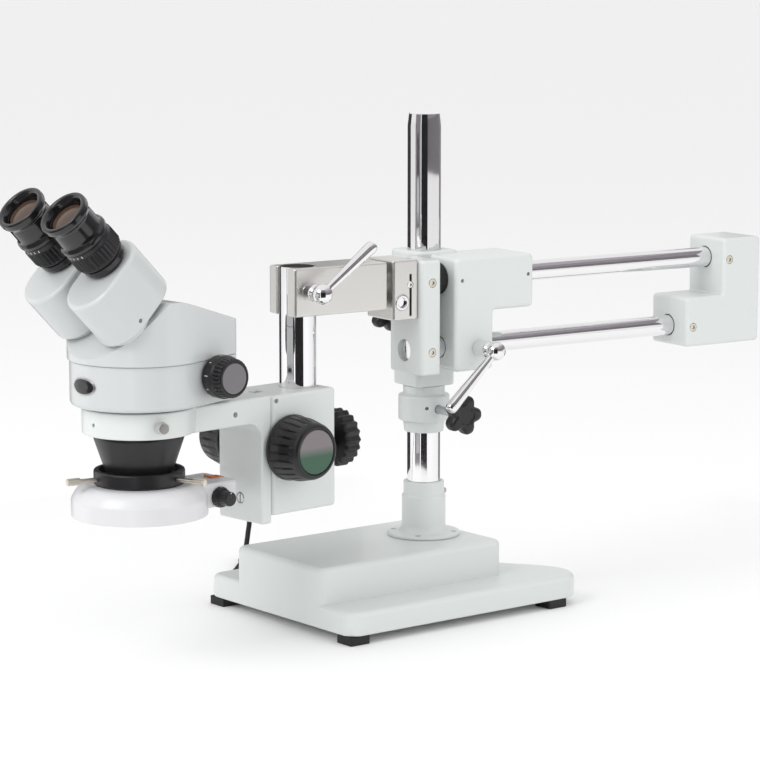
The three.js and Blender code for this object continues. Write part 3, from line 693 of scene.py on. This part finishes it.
def build_boom():
    for name, z in (("arm_upper", ARM_UPPER), ("arm_lower", ARM_LOWER)):
        low, high = local_box(name, STAND)
        tube = turned(soften([(0, low[0]), (ARM_R, low[0]), (ARM_R, high[0]), (0, high[0])], [0, 1.2, 1.2, 0]), 96)
        piece(name + "_rod", put(tube, shift(0, ARM_Y, z), ALONG_X), STAND, CHROME, "boom", [name])
    low, high = local_box("arm_bumper", STAND)
    ring = turned(soften([(10.3, low[0]), (15.4, low[0]), (15.4, high[0]), (10.3, high[0])],
                         [0.5, 1.6, 1.6, 0.5], True), 72)
    piece("bumper_ring", put(ring, shift(0, ARM_Y, ARM_UPPER), ALONG_X), STAND, RUBBER, "boom",
          ["arm_bumper"])
    low, high = local_box("front_block", STAND)
    body = block(*spans(low, high), 4.5, 2.5)
    near = low[1]
    screw_x = low[0] + 12
    cuts = [hole(ARM_BORE, low[0] + 3.5, high[0] + 4, 64, shift(0, ARM_Y, ARM_UPPER), ALONG_X),
            hole(ARM_BORE, low[0] - 4, high[0] + 4, 64, shift(0, ARM_Y, ARM_LOWER), ALONG_X),
            hole(4.4, -20, 4, 32, shift(TILT_X, high[1], TILT_Z), ALONG_Y)]
    cuts += [hole(SCREW_R, -3, 3, 32, near_face(screw_x, z, near)) for z in (ARM_UPPER, ARM_LOWER)]
    piece("front_block_body", carve(body, *cuts), STAND, PAINT, "boom", ["front_block"])
    screws = [put(cap_screw(), near_face(screw_x, z, near + 1.2)) for z in (ARM_UPPER, ARM_LOWER)]
    piece("front_block_screws", merge(*screws), STAND, PALE_BRASS, "boom")
    low, high = local_box("rear_block", STAND)
    step, shoulder, near = 281, 313, low[1]
    profile = soften([(low[0], low[2]), (high[0], low[2]), (high[0], high[2]), (shoulder, high[2]),
                      (shoulder, step), (low[0], step)], [4, 4, 4, 4, 2, 4], True, 6)
    body = sideways(profile, near, high[1], 3.5)
    spots = [(320.5, ARM_UPPER - 1), (275, ARM_LOWER)]
    cuts = [hole(10.8, shoulder - 4, high[0] - 17, 64, shift(0, ARM_Y, ARM_UPPER), ALONG_X),
            hole(10.8, low[0] - 4, high[0] - 27, 64, shift(0, ARM_Y, ARM_LOWER), ALONG_X)]
    cuts += [hole(SCREW_R, -3, 3, 32, near_face(x, z, near)) for x, z in spots]
    piece("rear_block_body", carve(body, *cuts), STAND, PAINT, "boom", ["rear_block"])
    screws = [put(cap_screw(), near_face(x, z, near + 1.2)) for x, z in spots]
    piece("rear_block_screws", merge(*screws), STAND, PALE_BRASS, "boom")
    low, high = local_box("tilt_mount", STAND)
    body = block(*spans(low, high), 2.5, 1.6)
    slot_cut = block(-61, -58.5, low[1] - 5, SHANK_Y, 287, 326, 0.4, 0)
    bush_place = near_face(-69, 300, low[1])
    cuts = [hole(10.5, low[0] - 3, high[0] - 2, 64, shift(0, SHANK_Y, ARM_UPPER), ALONG_X), slot_cut,
            hole(7.6, -6, 4, 48, bush_place),
            hole(3.4, -3, 3, 32, near_face(-60, 316, low[1]))]
    piece("tilt_mount_body", carve(body, *cuts), STAND, NICKEL, "boom", ["tilt_mount"])
    bush = turned(soften([(4.4, -6), (7.4, -6), (7.4, 0.8), (4.4, 0.8)], [0, 0, 1, 0.8], True), 64)
    pin = turned([(0, -6), (4.3, -6), (4.3, -2), (0, -2)], 40)
    screw = put(cap_screw(3.2), near_face(-60, 316, low[1] + 1.2))
    fitting = merge(put(bush, bush_place), put(pin, bush_place), screw)
    piece("tilt_mount_bush", fitting, STAND, CHROME, "boom")
    knob, stud = star_knob(25, 14, 18)
    place = STAND @ shift(TILT_X, -33.6, TILT_Z) @ ALONG_Y
    piece("tilt_knob_body", knob, place, BLACK, "tilt_knob", ["tilt_lock_knob"])
    piece("tilt_knob_stud", stud, place, STEEL, "tilt_knob")


def build_bracket():
    low, high = local_box("post_bracket", STAND)
    right, half, y = -85, 22, SHANK_Y
    arm = block(low[0], right, y - half, y + half, low[2], high[2], 2.5, 1.8)
    shank = put(rod(10, right - 5, high[0], 0.8, 64), shift(0, y, ARM_UPPER), ALONG_X)
    centre = (post[0] - pillar[0], post[1] - pillar[1])
    cuts = [hole(POST_BORE, 280, 350, 96, shift(*centre)),
            block(low[0] - 5, centre[0], y - 10, y + 10, 280, 350, 1, 0),
            hole(4.5, -8, 30, 32, near_face(centre[0], ARM_UPPER, y - half + 4))]
    piece("bracket_body", carve(fuse(arm, shank), *cuts), STAND, NICKEL, "bracket", ["post_bracket"])
    place = STAND @ near_face(centre[0], ARM_UPPER, y - 17.3)
    piece("post_lever_body", lever([4, 5], [8.5, 12], 9.6, 70, 36.7), place, CHROME, "post_lever",
          ["post_clamp_lever"])
    low, high = local_box("drop_post", STAND)
    tube = turned(soften([(0, low[2]), (POST_R, low[2]), (POST_R, high[2]), (0, high[2])], [0, 1.4, 1.4, 0]), 96)
    piece("drop_post_tube", tube, STAND @ shift(*centre), CHROME, "post", ["drop_post"])


# ---- focus block and carrier
HOUSING_HALF = 30
SHAFT_U, SHAFT_Z, LOCK_Z = -38, 180.5, 175.5
RING_U, RING_R, RING_LOW, RING_HIGH = -185, 49.5, 208, 231
LEG_SCREW_Z = 134
ZOOM_U, ZOOM_Z = -141, 258.5
GLAND_U, GLAND_Z = -106, 146
DIMMER_Z = 144


def build_focus():
    low, high = local_box("focus_housing", HEAD)
    left, right, z0, z1 = low[0], high[0], low[2], high[2]
    shell = block(left, right, -HOUSING_HALF, HOUSING_HALF, z0, z1, 5, 3)
    rack_room = block(left - 3, -46, -5.3, 5.3, z0 - 3, z1 + 3, 0.4, 0)
    cuts = [hole(POST_BORE, 100, 260, 96), rack_room,
            hole(6.4, -60, 60, 40, shift(SHAFT_U, 0, SHAFT_Z), ALONG_Y),
            hole(8.4, -6, 6, 40, shift(SHAFT_U, 0, SHAFT_Z), ALONG_Y),
            hole(4.5, 8, right + 3, 32, shift(0, 0, LOCK_Z), ALONG_X),
            put(grub_hole(2.2), near_face(-52, 223.6, -HOUSING_HALF))]
    piece("focus_block", carve(shell, *cuts), HEAD, PAINT, "focus_block", ["focus_housing"])
    shaft = fuse(rod(6, -58, 58), rod(8, -5, 5, 0.4))
    piece("pinion_rod", put(shaft, shift(SHAFT_U, 0, SHAFT_Z), ALONG_Y), HEAD, STEEL, "focus_drive",
          ["pinion_shaft"])
    for side, way in SIDES.items():
        place = HEAD @ shift(SHAFT_U, 0, SHAFT_Z) @ way @ shift(0, 0, HOUSING_HALF + 1)
        grip = soften([(6.4, 1), (28.6, 1), (30, 2.5), (30, 5), (29.2, 6.2), (29.1, 8), (28.8, 18),
                       (27.0, 27), (26.3, 30), (25.6, 33.4), (24.2, 36), (22.6, 37.2), (21, 37.2), (20.4, 36.2),
                       (6.4, 36.2)],
                      [0, 1, 1, 1, 0, 0, 2, 0, 0, 2, 1, 0.6, 0.4, 0, 0])

        def ribbed(r, z, a):
            if r < 25 or z < 7 or z > 31:
                return r
            depth = 1.3 * min(1, (z - 7) / 2, (31 - z) / 2)
            return r - depth * max(0, (math.cos(24 * a) - 0.6) / 0.4)

        piece(f"focus_grip_{side}", turned(grip, 288, ribbed), place, BLACK, "focus_drive",
              [f"focus_knob_{side}"])
        cap = turned(soften([(0, 35), (20.2, 35), (20.2, 36.6), (19.4, 37.2), (0, 37.4)], 0.4), 96)
        piece(f"focus_cap_{side}", cap, place, GREEN, "focus_drive")
    profile = soften([(0, 20.3), (25, 20.3), (27, 22), (27, 36), (24.4, 38), (17, 38), (15.5, 36.6), (0, 36.6)],
                     [0, 0.8, 1.2, 1.6, 1, 1, 1, 0])
    fluted = turned(profile, 240, lobes(20, 2.2, 20, 0.8))
    place = HEAD @ shift(17.3, 0, LOCK_Z) @ ALONG_X
    hub = rod(10, 6, 20.8, 0.8)
    piece("lock_wheel", merge(fluted, hub), place, BLACK, "post_knob", ["post_lock_knob"])
    piece("lock_stud", rod(4, 0, 6.2, 0.3, 32), place, STEEL, "post_knob")


def build_carrier():
    low, high = local_box("focus_arm", HEAD)
    leg = block(-70, -57.9, -30, 30, low[2], 229, 2.5, 2)
    reach = block(RING_U + 30, -61.9, -30, 30, 205.5, 229, 3, 2.4)
    circle = [(RING_R * math.cos(TAU * k / 96), RING_R * math.sin(TAU * k / 96)) for k in range(96)]
    ring = prism(circle, RING_LOW, RING_HIGH, 1.6, 1.6)
    gusset = sideways([(-68, 190), (-68, 207), (-84, 207), (-77, 204.5), (-71.8, 199)], -29.9, 29.9, 0)
    thumb = shift(RING_U, 0, (RING_LOW + RING_HIGH) / 2) @ rotation(252, "Z") @ ALONG_X
    cuts = [hole(41, 190, 240, 128, shift(RING_U)),
            hole(3.4, 30, 60, 32, thumb),
            put(grub_hole(1.9), shift(RING_U, 0, 219), rotation(180, "Z"), shift(RING_R), ALONG_X),
            put(grub_hole(2.5), near_face(-100, 216.5, -30)),
            hole(5.4, -2, 5, 48, shift(-70, 0, LEG_SCREW_Z), rotation(180, "Z"), ALONG_X)]
    body = carve(fuse(leg, reach, put(ring, shift(RING_U)), gusset), *cuts)
    piece("carrier_arm", body, HEAD, PAINT, "focus_carrier", ["focus_arm"])
    head = turned(soften([(0, -1.9), (4.9, -1.9), (4.9, 1.2), (4.2, 1.9), (0, 1.9)], [0, 0, 0.4, 0.4, 0]), 48)
    slit = block(-6, 6, -0.7, 0.7, 0.9, 4, 0.1, 0)
    piece("leg_screw", put(carve(head, slit), shift(-68.2, 0, LEG_SCREW_Z), rotation(180, "Z"), ALONG_X), HEAD, STEEL,
          "focus_carrier")
    low, high = local_box("focus_rack", HEAD)
    pitch, z = 3.2, low[2] + 1
    back, face = low[0], high[0]
    outline = [(back, low[2])]
    while z + pitch < high[2]:
        outline += [(face - 1.6, z), (face, z + pitch * 0.3), (face, z + pitch * 0.55), (face - 1.6, z + pitch * 0.85)]
        z += pitch
    outline += [(face - 1.6, high[2]), (back, high[2])]
    piece("rack_bar", sideways(outline, low[1], high[1], 0), HEAD, BRASS, "focus_carrier", ["focus_rack"])
    place = HEAD @ thumb @ shift(0, 0, 41.3)
    knurl = turned(soften([(0, 10.5), (5.4, 10.5), (5.4, 21.2), (4.6, 22), (0, 22)], 0.6), 90, lobes(30, 0.35, 5))
    piece("thumb_screw_body", merge(rod(3, 0, 10.7, 0.3, 32), knurl), place, NICKEL, "thumb_screw",
          ["ring_thumb_screw"])


# ---- head
def head_plan(r, rear, rear_half, n=56):
    """Round at the front, running in straight lines to a narrower rear with rounded corners."""
    turn = math.asin(0.28)
    start, end = math.pi / 2 - turn, 1.5 * math.pi + turn
    outline = [(RING_U + r * math.cos(start + (end - start) * k / n), r * math.sin(start + (end - start) * k / n))
               for k in range(n + 1)]
    corner = soften([(outline[-1][0], outline[-1][1]), (rear, -rear_half), (rear, rear_half), outline[0]],
                    [0, 10, 10, 0], False, 6)
    return outline + corner[1:-1]


def build_shells():
    low, high = local_box("head_lower_shell", HEAD)
    seam = high[2]
    r, rear, rear_half, bottom, wall = 59.5, -101, 38, 233, 4
    outside = prism(head_plan(r, rear, rear_half), bottom, seam, 5, 0.8, 5)
    boss = put(rod(40.7, 207, bottom + 2, 1, 96), shift(RING_U))
    inside = prism(head_plan(r - wall, rear - wall, rear_half - wall), bottom + wall, seam + 3, 3, 0)
    shaft_hole = hole(4.5, -80, 80, 32, shift(ZOOM_U, 0, ZOOM_Z), ALONG_Y)
    throat = hole(34, 200, bottom + 10, 64, shift(RING_U))
    piece("lower_shell", carve(fuse(outside, boss), inside, throat, shaft_hole), HEAD, PEARL, "head",
          ["head_lower_shell"])

    low, high = local_box("head_upper_shell", HEAD)
    seam, peak_z, rear_z = low[2], 327, 301
    r = 61.5
    whole = prism(head_plan(r, rear, rear_half), seam, peak_z + 30, 1.2, 0)
    front = RING_U - r - 1
    profile = soften([(front - 5, seam - 1), (front - 5, front - 5 + SLOPE), (peak_z - SLOPE, peak_z),
                      (peak_z - SLOPE + 14, peak_z), (rear + 5, rear_z), (rear + 5, seam - 1)],
                     [0, 0, 3, 10, 9, 0], False, 6)
    outer = boolean(whole, [sideways(profile, -80, 80, 0)], "INTERSECT")
    inner_low = SLOPE - 7
    inner_profile = [(seam - 1 - inner_low, seam - 1), (peak_z - 5 - inner_low, peak_z - 5),
                     (peak_z - SLOPE + 10, peak_z - 5), (rear - 5, rear_z - 7), (rear - 5, seam - 1)]
    inner = boolean(prism(head_plan(r - 4, rear - 4, rear_half - 4), seam - 2, peak_z + 30),
                    [sideways(inner_profile, -76, 76, 0)], "INTERSECT")
    shell = boolean(outer, [inner], "DIFFERENCE")
    cover = piece("upper_shell", shell, HEAD, PEARL, "head", ["head_upper_shell"], 40)
    edge = cover.modifiers.new("rounded_edges", "BEVEL")
    edge.width = 0.003
    edge.segments = 4
    edge.limit_method = "ANGLE"
    edge.angle_limit = math.radians(38)
    cover.modifiers.move(1, 0)  # before the normals


def oval_plate(levels, n=64):
    """Ovals of (size, lift) stacked outwards on the round front and closed at both ends."""
    r = 59.5
    verts, faces = [], []
    for grow, out in levels:
        for k in range(n):
            t = TAU * k / n
            y, z = 15 * grow * math.cos(t), 254 + 7.4 * grow * math.sin(t)
            a = math.asin(y / (r + 0.3))
            verts.append((RING_U - (r + out) * math.cos(a), y, z))
    last = len(levels) - 1
    for j in range(last):
        faces += [(j * n + k, j * n + (k + 1) % n, (j + 1) * n + (k + 1) % n, (j + 1) * n + k) for k in range(n)]
    faces += [tuple(range(last * n, (last + 1) * n)), tuple(reversed(range(n)))]
    return verts, faces


def build_badge():
    """A blank oval plate that follows the round front, with a pale rim."""
    rim = oval_plate([(1.0, 0.2), (1.0, 0.9), (0.96, 1.3), (0.88, 1.3), (0.86, 1.0)])
    piece("badge_rim", rim, HEAD, STEEL, "head", ["head_badge"])
    face = oval_plate([(0.87, 0.9), (0.87, 1.15), (0.6, 1.25), (0.3, 1.3)])
    piece("badge_face", face, HEAD, GLOSS, "head")


def build_objective():
    profile = soften([(24.5, 168.5), (28, 168.5), (29.2, 171), (29.4, 172.4), (39.6, 203), (40, 204.5), (40, 206.7),
                      (33, 206.7), (24.5, 176)], [0.3, 0.8, 0.5, 0.4, 1, 0.4, 0.5, 0, 0])
    piece("objective_cone", turned(profile, 128), HEAD @ shift(RING_U), BLACK, "head",
          ["objective_housing"])
    glass = turned([(0, 171), (8, 171.2), (16, 171.8), (23, 172.7), (24.2, 173.2), (24.2, 177), (12, 178.1),
                    (0, 178.5)], 96)
    piece("objective_glass", glass, HEAD @ shift(RING_U), LENS, "head", ["objective_lens"])


def build_zoom():
    place = HEAD @ shift(ZOOM_U, 0, ZOOM_Z)
    piece("zoom_rod", put(rod(4, -66, 66, 0.4, 32), ALONG_Y), place, STEEL, "zoom", ["zoom_shaft"])
    grip = soften([(4.3, 55), (18, 55), (19, 57.5), (19, 66.5), (17.9, 68), (17.7, 69.4), (17.2, 76), (15.6, 77.8),
                   (14.2, 77.8), (13.6, 77), (4.3, 77)], [0, 0.8, 0.8, 0.8, 0.4, 0.4, 0.8, 0.6, 0.3, 0, 0])

    def ribbed(r, z, a):
        if r < 16 or not 68.6 < z < 76.6:
            return r
        return r - 0.9 * max(0, (math.cos(30 * a) - 0.2) / 0.8)

    for side, way in SIDES.items():
        piece(f"zoom_grip_{side}", turned(grip, 240, ribbed), place @ way, BLACK, "zoom",
              [f"zoom_knob_{side}"])
        face = turned([(0, 76.8), (13.4, 76.8), (13.4, 77.5), (12.6, 77.9), (0, 77.9)], 72)
        piece(f"zoom_face_{side}", face, place @ way, GREY, "zoom")
        marks = []
        for k in range(9):
            tick = block(18.5, 19.05, -0.35, 0.35, 60, 62.4 if k % 2 else 64, 0.05, 0)
            marks.append(put(tick, rotation(20 + 38 * k, "Z")))
        piece(f"zoom_marks_{side}", merge(*marks), place @ way, MARK, "zoom")


def stadium(half_length, r, centre=0.0, n=24):
    out = []
    for k in range(n + 1):
        a = -math.pi / 2 + math.pi * k / n
        out.append((centre + half_length - r + r * math.cos(a), r * math.sin(a)))
    for k in range(n + 1):
        a = math.pi / 2 + math.pi * k / n
        out.append((centre - half_length + r + r * math.cos(a), r * math.sin(a)))
    return out


def build_tube(side):
    """Prism housing, eyepiece and diopter ring; +Z of the place points to the eye."""
    place = TUBE[side]
    body = f"tube_{side}"
    low = local_box(f"tube_housing_{side}", place)[0]
    centre = -11.5
    housing = prism(stadium(39, 26, centre), -53.5, -1.5, 3, 3.5, 6)
    neck = put(rod(22, low[2], -51, 0.5, 96), shift(-24, 0, 0))
    way = 1 if side == "near" else -1
    cuts = [hole(13, -30, 5, 64),
            hole(2.0, -3, 6, 24, shift(centre - 12, way * -26, -46), SIDES[side])]
    piece(f"prism_box_{side}", carve(fuse(housing, neck), *cuts), place, PEARL, body,
          [f"tube_housing_{side}"], 34)
    lower = soften([(11, -1.2), (17.6, -1.2), (18.2, 0.6), (20.4, 2.6), (20.5, 7.4), (19.8, 8), (15, 8), (15, 31.9),
                    (22, 31.9), (22.5, 32.6), (22.5, 35.4), (21.4, 36.6), (20.4, 37.6), (20, 40), (19.8, 54),
                    (21.8, 57), (22.4, 58.5), (22.4, 63), (21.6, 64), (19, 64), (17.6, 62.6), (15.6, 58.5),
                    (14.9, 54.2), (11, 52.4)],
                   [0, 0.4, 0.6, 0.6, 0.4, 0.3, 0, 0, 0.4, 0.4, 0.6, 0.4, 0.8, 1, 2, 1, 0.8, 1, 0.8, 0.8, 0.8, 1,
                    0.6, 0])
    piece(f"eyepiece_body_{side}", turned(lower, 128), place, GLOSS, body, [f"eyepiece_{side}"])
    glass = turned([(0, 56), (14.6, 54.5), (14.6, 56.6), (12, 57.6), (8, 58.5), (4, 59.1), (0, 59.3)], 96)
    piece(f"eye_glass_{side}", glass, place, LENS, body, [f"eye_lens_{side}"])
    bore = 15.3
    grip = soften([(bore, 8.3), (19.8, 8.3), (20.6, 9.3), (20.8, 10.4), (22.6, 11.6), (22.6, 18), (22.6, 25),
                   (21.6, 26.4), (21.6, 30.4), (21.2, 31.6), (bore, 31.6)],
                  [0, 0.4, 0.6, 0.3, 0.6, 0, 0.8, 0.6, 0.6, 0.4, 0])

    def knurled(r, z, a):
        if r < 22 or not 11 < z < 26:
            return r
        return r - 1.5 * (0.5 - 0.5 * math.cos(36 * a)) ** 0.7 * min(1, (z - 10.5), (26 - z))

    piece(f"diopter_grip_{side}", turned(grip, 240, knurled), place, BLACK, f"diopter_{side}",
          [f"diopter_ring_{side}"])
    tick = block(21.2, 21.72, -0.3, 0.3, 27.4, 29.6, 0.05, 0)
    marks = [put(tick, rotation(150 + 12 * k, "Z")) for k in range(6)]
    piece(f"diopter_marks_{side}", merge(*marks), place, MARK, f"diopter_{side}")


# ---- ring light
def build_light():
    r, bore, bottom, top = 60, 31, 134.8, 162.5
    profile = soften([(bore, 139.8), (34, 139.8), (34, bottom), (r, bottom), (r, 150), (55, 159), (48, top),
                      (bore, top)], [0, 0, 0.4, 0.8, 2, 4, 3, 0.8])
    low, high = local_box("dimmer_knob", HEAD)
    dimmer_u = (low[0] + high[0]) / 2
    box = block(-140, -92, -24, 24, bottom, 157, 5, 2.5)
    ring = put(turned(profile, 128), shift(RING_U))
    recess = turned([(34.2, bottom - 2), (50.3, bottom - 2), (50.3, bottom + 5), (34.2, bottom + 5)], 96)
    cuts = [hole(bore, 120, 175, 96, shift(RING_U)), put(recess, shift(RING_U)),
            block(-108.5, -92.3, -6.2, 6.2, 149, 160, 0.6, 0),
            hole(3.3, 16, 26, 32, shift(dimmer_u, 0, DIMMER_Z), TO_NEAR),
            hole(3.5, 16, 26, 32, shift(GLAND_U, 0, GLAND_Z), ALONG_Y)]
    piece("light_body", carve(fuse(ring, box), *cuts), HEAD, WHITE, "head", ["ring_light_housing"], 34)
    board = turned([(34.5, bottom + 3.2), (50, bottom + 3.2), (50, bottom + 4.7), (34.5, bottom + 4.7)], 96)
    piece("light_board", board, HEAD @ shift(RING_U), MARK, "head", ["led_board"])
    domes = []
    for k in range(48):
        a = TAU * k / 48
        dome = turned([(0, -2.0), (1.4, -1.6), (2.2, -0.6), (2.4, 0.4), (0, 0.4)], 16)
        radius = 38.6 if k % 2 else 46
        domes.append(put(dome, shift(radius * math.cos(a), radius * math.sin(a), bottom + 3.2)))
    piece("light_domes", merge(*domes), HEAD @ shift(RING_U), LED, "head")
    z0, z1 = top + 0.3, 175.5
    middle = (top + z1) / 2
    collar = soften([(35.5, z0), (39.4, z0), (40, z0 + 1.2), (40, z1 - 1.4), (39.2, z1), (35.5, z1)],
                    [0, 0.4, 0.5, 0.8, 0.6, 0.3])
    angles = {"a": 167, "b": 287, "c": 47}
    holes = [hole(2.3, 30, 45, 24, shift(0, 0, middle), rotation(a, "Z"), ALONG_X) for a in angles.values()]
    piece("light_collar", carve(turned(collar, 128), *holes), HEAD @ shift(RING_U), BLACK, "head",
          ["ring_light_collar"])
    for letter, angle in angles.items():
        place = HEAD @ shift(RING_U, 0, middle) @ rotation(angle, "Z") @ ALONG_X
        grip = turned(soften([(0, 57), (3.3, 57), (3.3, 68.4), (2.8, 69), (0, 69)], 0.4), 72, lobes(24, 0.3, 3))
        screw = merge(rod(2, 29.6, 57.2, 0.3, 24), grip)
        piece(f"light_screw_{letter}_body", screw, place, PALE_BRASS, f"light_screw_{letter}",
              [f"light_clamp_screw_{letter}"])
    place = HEAD @ shift(dimmer_u, 0, DIMMER_Z) @ TO_NEAR @ shift(0, 0, 17.5)
    skirt = [(0, 7), (9.5, 7), (9.5, 9.6), (8.4, 12.4), (6.8, 13.4), (6.6, 22), (5.8, 23), (0, 23)]
    knob = turned(soften(skirt, [0, 0.5, 0.8, 0.8, 0.6, 0.8, 0.5, 0]), 144, lobes(18, 0.35, 6.2))
    piece("dimmer_body", merge(rod(3, 0, 7.2, 0.2, 32), knob), place, BLACK, "dimmer", ["dimmer_knob"])
    pointer = merge(block(-0.5, 0.5, 1.2, 6.0, 22.8, 23.0, 0.05, 0), block(-0.5, 0.5, 8.2, 9.3, 8.4, 9.8, 0.05, 0))
    piece("dimmer_pointer", pointer, place, MARK, "dimmer")
    profile = soften([(-107.8, 154.4), (-100.4, 152.2), (-93, 154.4), (-93, 157.4), (-100.4, 157.2), (-107.8, 159.6)],
                     [0.8, 3, 0.8, 0.6, 3, 0.6], True, 4)
    piece("rocker_body", sideways(profile, -5.8, 5.8, 0.5), HEAD, AMBER, "rocker", ["rocker_switch"])
    gland = [(0, 0), (3.2, 0), (3.2, 8), (6, 8.6), (6, 12), (4.6, 13)]
    for k in range(6):
        z = 14 + 2.6 * k
        r_here = 4.5 - 0.2 * k
        gland += [(r_here, z), (r_here, z + 1.4), (r_here - 0.8, z + 1.6), (r_here - 0.8, z + 2.4)]
    gland += [(3.2, 30), (0, 30)]
    piece("gland_body", turned(gland, 48), HEAD @ shift(GLAND_U, 16.3, GLAND_Z) @ ALONG_Y, RUBBER, "head",
          ["lead_gland"])


def build_supply():
    """The mains adapter with its two pins, and the pair of connectors on the table."""
    shell = block(40, 84, 143, 177, 0, 27, 5, 3)
    piece("adapter_shell", shell, STAND, BLACK, "stand", ["mains_adapter"])
    pins = [block(82, 101, y - 0.8, y + 0.8, 10, 16.4, 0.3, 0.3) for y in (153.65, 166.35)]
    piece("adapter_pins", merge(*pins), STAND, BRASS, "stand")
    heading = math.degrees(math.atan2(14, 12.4))
    half = soften([(0, 0), (3, 0), (5.2, 4), (5.2, 17), (0, 17)], [0, 0.8, 1.5, 0.6, 0])

    def gripped(r, z, a):
        return r - (0.35 * (0.5 - 0.5 * math.cos(20 * a)) if r > 5 and z > 6 else 0)

    shape = turned(half, 100, gripped)
    piece("plug_body", shape, STAND @ shift(-72.4, 217.6, 5.6) @ rotation(heading, "Z") @ ALONG_X, RUBBER, "head",
          ["light_plug"])
    piece("socket_body_lead", shape, STAND @ shift(-47.8, 245.0, 5.6) @ rotation(heading + 180, "Z") @ ALONG_X, RUBBER,
          "stand", ["supply_socket"])


def slope_line():
    """z - u on the sloping front of the upper shell."""
    p = HEAD.inverted() @ TUBE["near"] @ Vector((0, 0, -57.3))
    return p.z - p.x


SLOPE = slope_line()
build_base()
build_pillar()
build_collar()
build_carriage()
build_boom()
build_bracket()
build_focus()
build_carrier()
build_shells()
build_badge()
build_objective()
build_zoom()
build_tube("near")
build_tube("far")
build_light()
build_supply()
build_cords()
